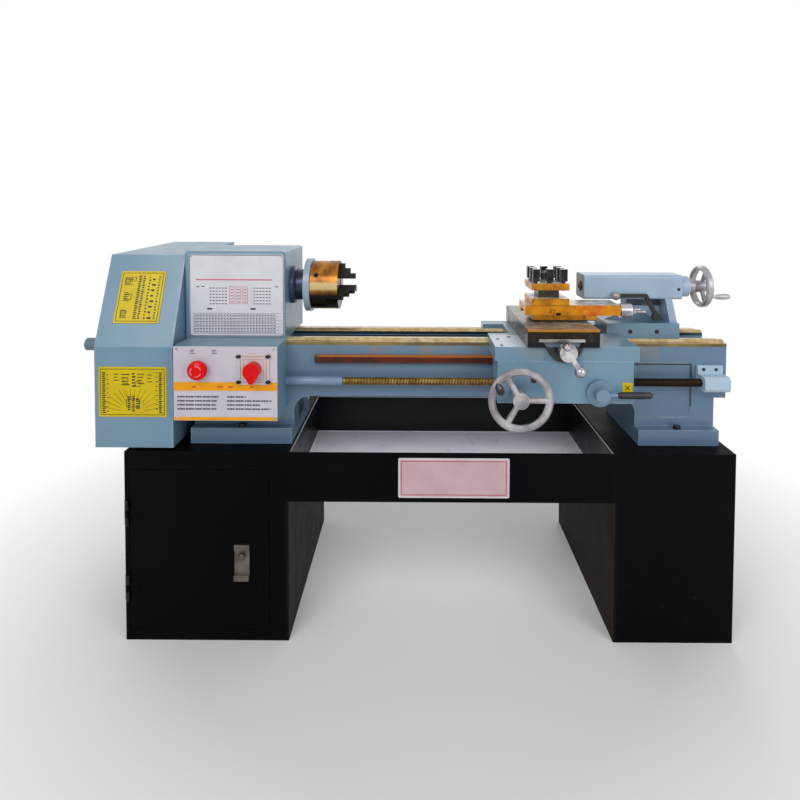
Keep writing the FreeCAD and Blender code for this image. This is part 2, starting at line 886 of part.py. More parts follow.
def make_bed():
    """The cast bed: two ways on webs, cross ribs and a foot at each end."""
    under = bed_top - d.way_thick
    ridge = bed_front + d.front_ridge_in
    front = prism("yz", [
        (bed_front, bed_bottom), (bed_front, bed_top), (ridge - d.ridge_half, bed_top),
        (ridge, bed_top + d.ridge_tall),
        (ridge + d.ridge_half, bed_top), (bed_front + d.way_wide, bed_top), (bed_front + d.way_wide, under),
        (bed_front + d.web_thick, under - d.web_slope), (bed_front + d.web_thick, bed_bottom)],
        (bed_left, bed_right))
    ridge = bed_back - d.rear_ridge_in
    back = prism("yz", [
        (bed_back, bed_bottom), (bed_back, bed_top), (ridge + d.ridge_half, bed_top),
        (ridge, bed_top + d.ridge_tall),
        (ridge - d.ridge_half, bed_top), (bed_back - d.way_wide, bed_top), (bed_back - d.way_wide, under),
        (bed_back - d.web_thick, under - d.web_slope), (bed_back - d.web_thick, bed_bottom)],
        (bed_left, bed_right))
    pieces = [front, back]
    rib_count = 7
    pitch = (d.bed_long - d.rib_thick) / (rib_count - 1)
    for index in range(rib_count):
        left = bed_left + pitch * index
        pieces.append(box((left, left + d.rib_thick), (bed_front + d.web_thick, bed_back - d.web_thick),
                          (bed_bottom, under - d.web_slope - d.rib_down)))
    hollows = []
    for low, high in foot_places():
        pieces.append(box((low, high), (bed_front, bed_back), (d.stand_tall, bed_bottom + d.foot_wall)))
        pieces.append(box((low, high), (bed_front - d.flange_out, bed_back + d.flange_out),
                          (d.stand_tall, d.stand_tall + d.flange_tall)))
        hollows.append(box((low + d.foot_wall, high - d.foot_wall),
                           (bed_front + d.foot_wall, bed_back - d.foot_wall),
                           (d.stand_tall - d.overrun, bed_bottom)))
    inner_sides = (foot_places()[0][1], foot_places()[1][0])
    for side, way in zip(inner_sides, (1, -1)):
        centre = side + d.arch_radius * way
        span = (side, centre) if way > 0 else (centre, side)
        corner = box(span, (bed_front, bed_back), (bed_bottom - d.arch_radius, bed_bottom))
        arch = rod("y", (centre, bed_bottom - d.arch_radius), (bed_front - d.overrun, bed_back + d.overrun),
                   d.arch_radius)
        pieces.append(cut(corner, arch))
    right = bed_right - d.recess_in
    top = bed_top - d.recess_down
    recess = box((right - d.recess_long, right), (bed_front - d.overrun, bed_front + d.recess_deep),
                 (top - d.recess_tall, top))
    bolt_holes = []
    for x, y in bolt_places():
        run = (d.stand_tall - d.overrun, d.stand_tall + d.flange_tall + d.overrun)
        bolt_holes.append(rod("z", (x, y), run, d.bolt_radius))
    node("bed", cut(join(*pieces), recess, *hollows, *bolt_holes))
    bolts = []
    for x, y in bolt_places():
        top = d.stand_tall + d.flange_tall
        shank = rod("z", (x, y), (d.stand_tall - d.stand_top, top), d.bolt_radius - d.fit_gap)
        head = rod("z", (x, y), (top, top + d.bolt_head_tall), d.bolt_head_radius)
        bolts.append(join(shank, head))
    node("bed_bolts", group(*bolts))


def rack_wheel_places():
    """Axis of the apron's hand-wheel shaft and of the rack pinion above and beside it."""
    wheel_x = saddle_left + d.wheel_along
    wheel_z = bed_top - d.wheel_shaft_down
    pitch_line = bed_top - d.rack_down - d.rack_tall + ADDENDUM_SHARE * d.rack_module
    pinion_z = pitch_line - d.rack_module * d.pinion_teeth / 2
    reach = d.apron_module * (d.wheel_teeth + d.reduction_teeth) / 2
    rise = number_of(pinion_z - wheel_z)
    step = math.sqrt(number_of(reach) ** 2 - rise ** 2)
    return wheel_x, wheel_z, wheel_x + step, pinion_z


def ridge_grooves(left, right):
    """The two grooves that clear the ridges of the ways."""
    grown = d.ridge_half + d.running_gap * 2
    tools = []
    for ridge in (bed_front + d.front_ridge_in, bed_back - d.rear_ridge_in):
        tools.append(prism("yz", [
            (ridge - grown, bed_top), (ridge, bed_top + d.ridge_tall + d.running_gap * 2),
            (ridge + grown, bed_top)],
            (left, right)))
    return tools


def make_rack_and_screw():
    """The toothed rack under the front way, the lead screw and its right bracket."""
    module = d.rack_module.number
    pitch = math.pi * module
    tip, root = tooth_half_widths(module)
    low = number_of(bed_top - d.rack_down - d.rack_tall)
    high = low + d.rack_tall.number
    root_z = low + (ADDENDUM_SHARE + DEDENDUM_SHARE) * module
    box_right = bed_left + d.box_in - d.head_overhang + d.box_long
    start = number_of(box_right + d.rack_gap)
    pinion_x = number_of(rack_wheel_places()[2])
    back = number_of(bed_front)
    front = back - d.rack_thick.number
    end = number_of(bed_right - d.rack_in)
    corners = [Vector(start, front, high), Vector(start, front, root_z)]
    first = math.ceil((start + root - pinion_x) / pitch)
    last = math.floor((end - root - pinion_x) / pitch)
    for index in range(first, last + 1):
        middle = pinion_x + pitch * index
        for offset, z in ((-root, root_z), (-tip, low), (tip, low), (root, root_z)):
            corners.append(Vector(middle + offset, front, z))
    corners += [Vector(end, front, root_z), Vector(end, front, high)]
    face = Part.Face(Part.makePolygon(corners + corners[:1]))
    shape_node("rack", face.extrude(Vector(0, back - front, 0)))
    left = plate_left - d.gear_in - d.gear_wide - d.hub_long / 2
    bracket_left = bed_right - d.bracket_in - d.bracket_long
    bracket_right = bracket_left + d.bracket_long
    shaft = rod("x", screw_axis, (left, bracket_right - d.bracket_end_wall), d.screw_radius)
    sleeve = rod("x", screw_axis, (box_right + d.running_gap, box_right + d.sleeve_long), d.sleeve_radius)
    node("leadscrew", join(shaft, sleeve))
    top = screw_z + d.bracket_tall / 2
    low = screw_z - d.bracket_tall / 2
    front = screw_y - d.bracket_deep
    plate_front = bed_front - d.bracket_plate_thick
    block = prism("yz", [
        (front, low + d.bracket_chamfer), (front + d.bracket_chamfer, low), (bed_front, low),
        (bed_front, screw_z + d.bracket_plate_up), (plate_front, screw_z + d.bracket_plate_up),
        (plate_front, top), (front + d.bracket_chamfer, top), (front, top - d.bracket_chamfer)],
        (bracket_left, bracket_right))
    hole = rod("x", screw_axis, (bracket_left - d.overrun, bracket_right - d.bracket_end_wall / 2),
               d.screw_radius + d.fit_gap)
    node("leadscrew_bracket", cut(block, hole))


# Headstock

def make_headstock():
    """The headstock casing and cover, the spindle in its bearings, and the bearing caps."""
    casing_top = head_top - d.cover_thick
    shell = box((head_left, head_right), (head_front, head_back), (bed_top, casing_top))
    room = box((head_left + d.head_end_wall, head_right - d.head_end_wall),
               (head_front + d.head_wall, head_back - d.head_wall),
               (bed_top + d.head_wall, casing_top + d.overrun))
    seat = rod("x", spindle_axis, (head_left - d.overrun, head_right + d.overrun),
               d.bearing_radius + d.fit_gap)
    grooves = ridge_grooves(head_left - d.overrun, head_right + d.overrun)
    node("headstock_casing", soften(cut(shell, room, seat, *grooves), d.cover_round, is_outer_corner))
    cover = box((head_left, head_right), (head_front, head_back), (casing_top, head_top))
    node("headstock_cover", soften(cover, d.cover_round, is_not_underneath))
    caps = []
    bearings = []
    for start in (head_left + d.running_gap, head_right - d.running_gap - d.bearing_wide):
        run = (start, start + d.bearing_wide)
        ring = rod("x", spindle_axis, run, d.bearing_radius)
        hole = rod("x", spindle_axis, (start - d.overrun, start + d.bearing_wide + d.overrun),
                   d.spindle_radius + d.fit_gap)
        bearings.append(cut(ring, hole))
    cap = turned("x", spindle_axis, [
        (head_right, 0), (head_right, d.cap_radius),
        (head_right + d.cap_thick * (1 - CAP_EDGE_SHARE), d.cap_radius),
        (head_right + d.cap_thick, d.cap_radius - d.cap_thick * CAP_EDGE_SHARE),
        (head_right + d.cap_thick, 0)])
    hole = rod("x", spindle_axis, (head_right - d.overrun, head_right + d.cap_thick + d.overrun), d.cap_bore)
    node("bearing_cap", cut(cap, hole))
    node("spindle_bearings", group(*bearings))
    nose = head_right + d.cap_thick + d.running_gap
    backplate = nose + d.nose_long
    left = plate_left - d.pulley_in - d.pulley_wide - d.hub_long
    spindle = turned("x", spindle_axis, [
        (left, d.bore_radius), (left, d.spindle_radius), (nose, d.spindle_radius), (nose, d.nose_radius),
        (backplate, d.nose_radius), (backplate, d.bore_radius)])
    node("spindle", spindle)
    return backplate


def is_outer_corner(edge):
    """Tells the four upright edges of the headstock casing."""
    if not isinstance(edge.Curve, Part.Line) or abs(edge.Curve.Direction.z) < STRAIGHT_SHARE:
        return False
    centre = edge.CenterOfMass
    at_end = min(abs(centre.x - number_of(head_left)), abs(centre.x - number_of(head_right)))
    at_side = min(abs(centre.y - number_of(head_front)), abs(centre.y - number_of(head_back)))
    return max(at_end, at_side) < number_of(d.overrun)


def is_not_underneath(edge):
    """Tells the edges of the headstock cover that don't lie on the casing."""
    return edge.CenterOfMass.z > number_of(head_top - d.cover_thick) + number_of(d.overrun)


def make_chuck(backplate):
    """The three-jaw chuck: backplate, body, scroll, key pinion and jaws."""
    body_left = backplate + d.backplate_thick
    front = body_left + d.chuck_long
    face = front - d.chuck_front
    plate = rod("x", spindle_axis, (backplate, body_left), d.backplate_radius)
    bore = rod("x", spindle_axis, (backplate - d.overrun, body_left + d.overrun), d.chuck_bore)
    node("chuck_backplate", cut(plate, bore))
    body = rod("x", spindle_axis, (body_left, front), d.chuck_radius)
    bore = rod("x", spindle_axis, (body_left - d.overrun, front + d.overrun), d.chuck_bore)
    hub = d.chuck_bore + d.pinion_radius
    room = cut(rod("x", spindle_axis, (body_left - d.overrun, face), d.chuck_radius - d.chuck_rim),
               rod("x", spindle_axis, (body_left - d.overrun * 2, face + d.overrun), hub))
    slots = []
    for index in range(3):
        slot = box((face - d.overrun, front + d.overrun), (axis_y - d.jaw_wide / 2, axis_y + d.jaw_wide / 2),
                   (axis_z, axis_z + d.chuck_radius + d.overrun))
        slots.append(spin(slot, "x", spindle_axis, THIRD_TURN * index))
    pinion_x = body_left + d.pinion_back
    top = axis_z + d.chuck_radius
    well = rod("z", (pinion_x, axis_y), (axis_z + hub, top + d.overrun), d.pinion_radius + d.running_gap)
    pinion_angle = THIRD_TURN / 2
    body = cut(body, bore, room, *slots, spin(well, "x", spindle_axis, pinion_angle))
    node("chuck_body", body)
    scroll_right = face - d.overrun - d.running_gap
    scroll = rod("x", spindle_axis, (scroll_right - d.scroll_thick, scroll_right),
                 d.chuck_radius - d.chuck_rim - d.running_gap)
    eye = rod("x", spindle_axis, (scroll_right - d.scroll_thick - d.overrun, scroll_right + d.overrun),
              hub + d.running_gap)
    node("chuck_scroll", cut(scroll, eye))
    stem = rod("z", (pinion_x, axis_y), (top - d.pinion_long - d.running_gap, top - d.running_gap),
               d.pinion_radius)
    half = d.key_socket / 2
    socket = box((pinion_x - half, pinion_x + half), (axis_y - half, axis_y + half),
                 (top - d.key_socket_deep, top + d.overrun))
    node("chuck_pinion", spin(cut(stem, socket), "x", spindle_axis, pinion_angle))
    side = d.jaw_wide / 2 - d.running_gap
    low = axis_z + d.jaw_inner
    high = low + d.jaw_deep
    for index in range(3):
        jaw = prism("xz", [
            (face - d.overrun + d.running_gap, low + d.jaw_step / 2), (front, low), (front + d.jaw_out, low),
            (front + d.jaw_out, low + d.jaw_step), (front + d.jaw_out - d.jaw_step_out, low + d.jaw_step),
            (front + d.jaw_out - d.jaw_step_out, low + d.jaw_step * 2),
            (front + d.jaw_step_out, low + d.jaw_step * 2),
            (front + d.jaw_step_out, high), (face - d.overrun + d.running_gap, high)],
            (axis_y - side, axis_y + side))
        node(f"chuck_jaw_{index + 1}", spin(jaw, "x", spindle_axis, THIRD_TURN * index))


# End guard and drive

def guard_section(inset):
    """The guard's outline seen from its end, moved inwards by inset."""
    bottom = d.stand_tall + d.guard_bottom_up + inset
    fold = d.stand_tall + d.guard_fold_up
    top = axis_z + d.guard_top_over_axis - inset
    front = axis_y - d.guard_front + inset
    top_front = axis_y - d.guard_top_front + inset
    back = axis_y + d.guard_back - inset
    return [(front, bottom), (front, fold), (top_front, top), (back, top + d.guard_rear_rise),
            (back, bottom)]


knob_axis = (axis_y - d.guard_knob_front, axis_z - d.guard_knob_down)


def make_guard():
    """The sheet-metal end guard with its knob, and the back plate that carries its stud."""
    shell = prism("yz", guard_section(0), (guard_left, plate_left))
    room = prism("yz", guard_section(d.guard_sheet), (guard_left + d.guard_sheet, plate_left + d.overrun))
    bar_hole = rod("x", spindle_axis, (guard_left - d.overrun, guard_left + d.guard_sheet * 2), d.guard_hole)
    wall = (guard_left - d.overrun, guard_left + d.guard_sheet + d.overrun)
    screw_hole = rod("x", knob_axis, wall, d.guard_screw_radius + d.running_gap)
    node("end_guard", cut(shell, room, bar_hole, screw_hole))
    knob = turned("x", knob_axis, [
        *shared(GUARD_KNOB_SHARES, guard_left, -d.guard_knob_long, d.guard_knob_radius)[:-1],
        (guard_left - d.running_gap, d.guard_knob_radius * GUARD_KNOB_SHARES[-1][1]),
        (guard_left - d.running_gap, d.guard_screw_radius),
        (guard_left + d.guard_stud_gap - d.running_gap, d.guard_screw_radius),
        (guard_left + d.guard_stud_gap - d.running_gap, 0)])
    node("guard_knob", knob)
    plate = prism("yz", guard_section(0), (plate_left, head_left))
    through = (plate_left - d.overrun, head_left + d.overrun)
    motor_axis = (axis_y + d.motor_back, stand_motor_z)
    plate = cut(plate, rod("x", spindle_axis, through, d.cap_bore),
                rod("x", screw_axis, through, d.screw_radius + d.screw_hole_gap),
                rod("x", motor_axis, through, d.motor_shaft * 2))
    node("guard_backplate", plate)


stand_motor_z = d.stand_tall + d.motor_foot_tall + d.motor_radius


def make_drive():
    """The motor, belt drive, and change gears from the spindle to the lead screw."""
    gear_left = number_of(plate_left - d.gear_in - d.gear_wide)
    gear_run = (gear_left, gear_left + d.gear_wide.number)
    module = d.gear_module.number
    spindle_centre = (number_of(axis_y), number_of(axis_z))
    screw_centre = (number_of(screw_y), number_of(screw_z))
    spindle_teeth, idler_teeth, screw_teeth = (
        int(d.spindle_teeth.number), int(d.idler_teeth.number), int(d.screw_teeth.number))
    idler_centre = idler_place(spindle_centre, screw_centre, module, spindle_teeth, idler_teeth, screw_teeth)
    to_idler = math.atan2(idler_centre[1] - spindle_centre[1], idler_centre[0] - spindle_centre[0])
    to_screw = math.atan2(screw_centre[1] - idler_centre[1], screw_centre[0] - idler_centre[0])
    idler_phase = mesh_phase(spindle_teeth, 0, to_idler, idler_teeth)
    screw_phase = mesh_phase(idler_teeth, idler_phase, to_screw, screw_teeth)
    shape_node("spindle_gear", gear_shape(
        spindle_teeth, module, gear_run, spindle_centre, 0, d.spindle_radius.number))
    shape_node("idler_gear", gear_shape(
        idler_teeth, module, gear_run, idler_centre, idler_phase, d.idler_bore.number))
    shape_node("leadscrew_gear", gear_shape(
        screw_teeth, module, gear_run, screw_centre, screw_phase, d.screw_radius.number))
    make_quadrant(idler_centre, screw_centre, gear_run)
    make_belt_drive()


def idler_place(spindle_centre, screw_centre, module, spindle_teeth, idler_teeth, screw_teeth):
    """Where the idler meshes with both gears, on the side away from the headstock's back."""
    from_spindle = module * (spindle_teeth + idler_teeth) / 2
    from_screw = module * (screw_teeth + idler_teeth) / 2
    across = screw_centre[0] - spindle_centre[0]
    up = screw_centre[1] - spindle_centre[1]
    distance = math.hypot(across, up)
    share = (from_spindle ** 2 - from_screw ** 2 + distance ** 2) / (2 * distance)
    aside = math.sqrt(max(from_spindle ** 2 - share ** 2, 0))
    return (spindle_centre[0] + across * share / distance - up * aside / distance,
            spindle_centre[1] + up * share / distance + across * aside / distance)


def make_quadrant(idler_centre, screw_centre, gear_run):
    """The arm on the back plate that holds the idler's stud."""
    plate = number_of(plate_left)
    right = plate - d.quadrant_in.number
    left = right - d.quadrant_thick.number
    half = d.quadrant_wide.number / 2
    gap = d.running_gap.number
    across = idler_centre[0] - screw_centre[0]
    up = idler_centre[1] - screw_centre[1]
    length = math.hypot(across, up)
    angle = math.degrees(math.atan2(up, across))
    bar = Part.makeBox(right - left, length, half * 2, Vector(left, 0, -half))
    bar.rotate(Vector(), AXIS_X, angle)
    bar.translate(Vector(0, screw_centre[0], screw_centre[1]))
    arm = bar
    for centre in (idler_centre, screw_centre):
        arm = arm.fuse(Part.makeCylinder(half, right - left, Vector(left, centre[0], centre[1]), AXIS_X))
    stud_radius = d.idler_bore.number - d.fit_gap.number
    hub = d.hub_long.number
    stud_left = gear_run[0] - hub
    stud = Part.makeCylinder(stud_radius, left - stud_left, Vector(stud_left, *idler_centre), AXIS_X)
    washer = Part.makeCylinder(half * WASHER_SHARE, hub / 2, Vector(stud_left, *idler_centre), AXIS_X)
    shoulder = Part.makeCylinder(half * WASHER_SHARE, left - gear_run[1] - gap,
                                 Vector(gear_run[1] + gap, *idler_centre), AXIS_X)
    foot = Part.makeCylinder(half * STUD_SHARE, plate - right, Vector(right, *idler_centre), AXIS_X)
    arm_left = stud_left - d.guard_arm_thick.number
    end = Vector(arm_left, number_of(knob_axis[0]), number_of(knob_axis[1]))
    stretch = end - Vector(arm_left, *idler_centre)
    bar = Part.makeBox(stud_left - arm_left, stretch.Length, half, Vector(arm_left, 0, -half / 2))
    bar.rotate(Vector(), AXIS_X, math.degrees(math.atan2(stretch.z, stretch.y)))
    bar.translate(Vector(0, *idler_centre))
    boss = Part.makeCylinder(half / 2, stud_left - arm_left, Vector(arm_left, *idler_centre), AXIS_X)
    pillar_left = number_of(guard_left) + d.guard_stud_gap.number
    pillar = Part.makeCylinder(d.guard_stud_radius.number, stud_left - pillar_left,
                               Vector(pillar_left, end.y, end.z), AXIS_X)
    arm = arm.fuse([stud, washer, shoulder, foot, bar, boss, pillar])
    clear = d.screw_radius.number + d.sheet.number
    arm = arm.cut(Part.makeCylinder(clear, right - left, Vector(left, *screw_centre), AXIS_X))
    shape_node("gear_quadrant", arm.removeSplitter())


def pulley(axis_place, radius, bore, left):
    """A flat-belt pulley with lips, bored for its shaft."""
    lip = radius + d.belt_thick / 2
    right = left + d.pulley_wide
    return turned("x", axis_place, [
        (left, bore), (left, lip), (left + d.pulley_lip / 2, lip), (left + d.pulley_lip / 2, radius),
        (right - d.pulley_lip / 2, radius), (right - d.pulley_lip / 2, lip), (right, lip), (right, bore)])


def make_belt_drive():
    """Both pulleys, the belt round them and the motor."""
    left = plate_left - d.pulley_in - d.pulley_wide
    motor_axis = (axis_y + d.motor_back, stand_motor_z)
    node("spindle_pulley", pulley(spindle_axis, d.pulley_radius, d.spindle_radius, left))
    motor_left = head_left + d.motor_in
    wheel = pulley(motor_axis, d.motor_pulley_radius, d.motor_shaft, left)
    shaft = rod("x", motor_axis, (left - d.hub_long / 2, motor_left + d.hub_long), d.motor_shaft)
    node("motor_pulley", join(wheel, shaft))
    gap = d.running_gap.number
    run = (number_of(left + d.pulley_lip / 2) + gap,
           number_of(left + d.pulley_wide - d.pulley_lip / 2) - gap)
    centres = [(number_of(axis_y), number_of(axis_z)), (number_of(motor_axis[0]), number_of(motor_axis[1]))]
    radii = (d.pulley_radius.number + gap, d.motor_pulley_radius.number + gap)
    inner = belt_wire(centres, radii, run[0])
    outer = belt_wire(centres, [radius + d.belt_thick.number for radius in radii], run[0])
    wide = Vector(run[1] - run[0], 0, 0)
    shape_node("drive_belt", Part.Face(outer).extrude(wide).cut(Part.Face(inner).extrude(wide)))
    right = motor_left + d.motor_long
    housing = turned("x", motor_axis, [
        (motor_left, 0), (motor_left, d.motor_radius * MOTOR_END_SHARE),
        (motor_left + d.hub_long, d.motor_radius),
        (right - d.motor_fan_long, d.motor_radius), (right - d.motor_fan_long, d.motor_fan_radius),
        (right, d.motor_fan_radius), (right, 0)])
    foot = box((motor_left + d.hub_long, right - d.motor_fan_long),
               (motor_axis[0] - d.motor_foot_wide / 2, motor_axis[0] + d.motor_foot_wide / 2),
               (d.stand_tall, motor_axis[1] - d.motor_radius * MOTOR_END_SHARE))
    hole = rod("x", motor_axis, (motor_left - d.overrun, motor_left + d.hub_long + d.running_gap),
               d.motor_shaft + d.fit_gap)
    node("motor", cut(join(housing, foot), hole))


def belt_wire(centres, radii, x):
    """The closed loop of a belt around two wheels of different sizes."""
    across = centres[1][0] - centres[0][0]
    up = centres[1][1] - centres[0][1]
    distance = math.hypot(across, up)
    heading = math.atan2(up, across)
    lean = math.acos((radii[0] - radii[1]) / distance)

    def point(wheel, angle):
        return Vector(x, centres[wheel][0] + radii[wheel] * math.cos(angle),
                      centres[wheel][1] + radii[wheel] * math.sin(angle))

    upper = heading + lean
    lower = heading - lean
    edges = [
        Part.LineSegment(point(0, upper), point(1, upper)).toShape(),
        Part.Arc(point(1, upper), point(1, heading), point(1, lower)).toShape(),
        Part.LineSegment(point(1, lower), point(0, lower)).toShape(),
        Part.Arc(point(0, lower), point(0, heading + math.pi), point(0, upper)).toShape()]
    return Part.Wire(edges)


# Control box

box_left = head_left + d.box_in
box_right = box_left + d.box_long
box_bottom = d.stand_tall + d.box_up
box_top = box_bottom + d.box_tall
box_front = bed_front - d.box_deep
panel_front = box_front - d.panel_thick


def make_control_box():
    """The feed-gear and control box on the bed's front, its panel, stop button and switch."""
    shell = box((box_left, box_right), (box_front, bed_front), (box_bottom, box_top))
    room = box((box_left + d.box_wall, box_right - d.box_wall),
               (box_front + d.box_wall, bed_front + d.overrun),
               (box_bottom + d.box_wall, box_top - d.box_wall))
    shaft_hole = rod("x", screw_axis, (box_left - d.overrun, box_right + d.overrun),
                     d.screw_radius + d.fit_gap)
    stop = (box_left + d.stop_in, box_top - d.stop_down)
    stem_hole = rod("y", stop, (box_front - d.overrun, box_front + d.box_wall + d.overrun),
                    d.stop_stem + d.running_gap)
    node("control_box", cut(shell, room, shaft_hole, stem_hole))
    plate = box((box_left, box_right), (panel_front, box_front), (box_bottom, box_top))
    switch = (box_left + d.switch_in, box_top - d.switch_down)
    collar = rod("y", stop, (panel_front - d.stop_collar_out, panel_front), d.stop_collar)
    half = d.switch_plate / 2
    escutcheon = box((switch[0] - half, switch[0] + half), (panel_front - d.switch_plate_thick, panel_front),
                     (switch[1] - half, switch[1] + half))
    screws = []
    reach = half - d.switch_screw_in
    head = d.switch_plate_thick * SCREW_HEAD_SHARE
    for across in (-1, 1):
        for up in (-1, 1):
            spot = (switch[0] + reach * across, switch[1] + reach * up)
            screws.append(rod("y", spot, (panel_front - head, panel_front), d.switch_screw_radius))
    through = (panel_front - d.overrun * 5, box_front + d.overrun)
    node("control_panel", cut(join(plate, collar, escutcheon, *screws),
                              rod("y", stop, through, d.stop_stem + d.running_gap),
                              rod("y", switch, through, d.switch_stem + d.running_gap)))
    cap_back = panel_front - d.stop_out + d.stop_cap
    node("stop_button", turned("y", stop, [
        *shared(STOP_CAP_SHARES, panel_front - d.stop_out, d.stop_cap, d.stop_radius)[:-1],
        (cap_back, d.stop_stem), (box_front, d.stop_stem), (box_front, 0)]))
    knob_back = panel_front - d.switch_plate_thick - d.running_gap
    knob_front = panel_front - d.switch_out
    knob = rod("y", switch, (knob_front, knob_back), d.switch_radius)
    out, down, tip = [d.switch_radius * share for share in SWITCH_NOSE_SHARES]
    nose = prism("xz", [
        (switch[0] - out, switch[1] - down), (switch[0] + out, switch[1] - down),
        (switch[0] + d.switch_stem, switch[1] - tip), (switch[0] - d.switch_stem, switch[1] - tip)],
        (knob_front, knob_back))
    stem = rod("y", switch, (knob_back, box_front), d.switch_stem)
    node("switch_knob", join(knob, nose, stem))


# Carriage

def make_saddle():
    """The saddle: a bridge across the ways with a wing along each of them."""
    low = bed_top + d.running_gap
    bridge_left = saddle_left + d.bridge_in
    bridge_right = bridge_left + d.bridge_long
    back = axis_y + d.saddle_back
    centre = bridge_left + d.bridge_long / 2
    pieces = [
        box((saddle_left, saddle_right), (saddle_front, axis_y - d.wing_front), (low, saddle_top)),
        box((saddle_left, saddle_right), (axis_y + d.wing_back, back), (low, saddle_top)),
        box((bridge_left, bridge_right), (saddle_front, back), (low, saddle_top)),
        box((saddle_left, saddle_right), (saddle_front, bed_front - d.running_gap),
            (bed_top - d.saddle_skirt, low)),
        prism("xz", [
            (centre - d.dovetail_half + d.dovetail_lean, saddle_top),
            (centre - d.dovetail_half, saddle_dovetail_top),
            (centre + d.dovetail_half, saddle_dovetail_top),
            (centre + d.dovetail_half - d.dovetail_lean, saddle_top)],
            (saddle_front, back))]
    tools = ridge_grooves(saddle_left - d.overrun, saddle_right + d.overrun)
    screw_x = saddle_left + d.cross_in
    channel = box((screw_x - d.cross_channel, screw_x + d.cross_channel),
                  (saddle_front + d.saddle_skirt, back - d.head_wall),
                  (cross_z - d.cross_radius - d.running_gap * 4, saddle_dovetail_top + d.overrun))
    plate_front = saddle_front - d.cross_plate_thick
    disc = rod("y", (screw_x, saddle_top + d.cross_plate_rise), (plate_front, saddle_front),
               d.cross_plate_radius)
    above = box((screw_x - d.cross_plate_radius - d.overrun, screw_x + d.cross_plate_radius + d.overrun),
                (plate_front - d.overrun, saddle_front + d.overrun),
                (saddle_top, saddle_top + d.cross_plate_rise + d.cross_plate_radius + d.overrun))
    bore = rod("y", (screw_x, cross_z), (plate_front - d.overrun, saddle_front + d.saddle_skirt + d.overrun),
               d.cross_radius + d.running_gap)
    node("saddle", cut(join(*pieces, cut(disc, above)), *tools, channel, bore))


saddle_dovetail_top = saddle_top + d.dovetail_tall
cross_z = bed_top + d.cross_up
apron_left = saddle_left + d.apron_in
apron_right = apron_left + d.apron_long
apron_top = bed_top - d.saddle_skirt
apron_bottom = apron_top - d.apron_tall
nut_axis = (saddle_left + d.half_nut_along, screw_z)


def make_apron():
    """The apron with its hand wheel, reduction gear, rack pinion, half nut and lever."""
    wheel_x, wheel_z, pinion_x, pinion_z = rack_wheel_places()
    inner = (saddle_front + d.apron_wall, saddle_front + d.apron_deep + d.overrun)
    shell = box((apron_left, apron_right), (saddle_front, saddle_front + d.apron_deep),
                (apron_bottom, apron_top))
    room = box((apron_left + d.apron_wall, apron_right - d.apron_wall), inner,
               (apron_bottom + d.apron_wall, apron_top + d.overrun))
    passage = rod("x", screw_axis, (apron_left - d.overrun, apron_right + d.overrun),
                  d.screw_radius + d.overrun)
    through = (saddle_front - d.overrun, saddle_front + d.apron_wall + d.overrun)
    node("apron", cut(shell, room, passage,
                      rod("y", (wheel_x, wheel_z), through, d.wheel_shaft + d.running_gap),
                      rod("y", (pinion_x, pinion_z), through, d.wheel_shaft + d.running_gap),
                      rod("y", nut_axis, through, d.nut_shaft + d.running_gap)))
    wheel_y = saddle_front - d.wheel_out
    gear_front = saddle_front + d.apron_wall + d.apron_gear_in
    gear_back = gear_front + d.apron_gear_wide
    module = d.apron_module.number
    small = int(d.wheel_teeth.number)
    large = int(d.reduction_teeth.number)
    heading = math.atan2(number_of(pinion_z - wheel_z), number_of(pinion_x - wheel_x))
    rack_phase = math.pi / 2
    pinion_teeth = int(d.pinion_teeth.number)
    large_phase = rack_phase + math.pi / pinion_teeth
    small_phase = mesh_phase(large, large_phase, heading + math.pi, small)
    small_gear = standing_gear(small, module, (gear_front, gear_back), (wheel_x, wheel_z), small_phase)
    large_gear = standing_gear(large, module, (gear_front, gear_back), (pinion_x, pinion_z), large_phase)
    pinion_run = (bed_front - d.rack_thick, bed_front - d.overrun)
    pinion = standing_gear(pinion_teeth, d.rack_module.number, pinion_run, (pinion_x, pinion_z), large_phase)
    shaft = rod("y", (pinion_x, pinion_z), (saddle_front, pinion_run[1]), d.wheel_shaft)
    node("rack_pinion", join(shaft, shape_node("", large_gear), shape_node("", pinion)))
    shaft = rod("y", (wheel_x, wheel_z), (wheel_y, gear_back), d.wheel_shaft)
    hub = rod("y", (wheel_x, wheel_z), (wheel_y - d.rim_wide / 2, wheel_y + d.wheel_hub_long), d.wheel_hub)
    wheel = join(shaft, hub, shape_node("", small_gear), *rim_and_spokes(
        "y", (wheel_x, wheel_z), wheel_y, d.wheel_radius, d.rim_thick, d.rim_wide, d.spoke_radius))
    handle_angle = math.radians(HANDLE_ANGLE)
    reach = d.wheel_radius - d.rim_thick / 2
    handle_axis = (wheel_x + reach * math.cos(handle_angle), wheel_z + reach * math.sin(handle_angle))
    grip = grip_on("y", handle_axis, wheel_y - d.rim_wide / 2, -d.handle_long, d.handle_radius)
    node("apron_handwheel", group(wheel, grip))
    make_half_nut()


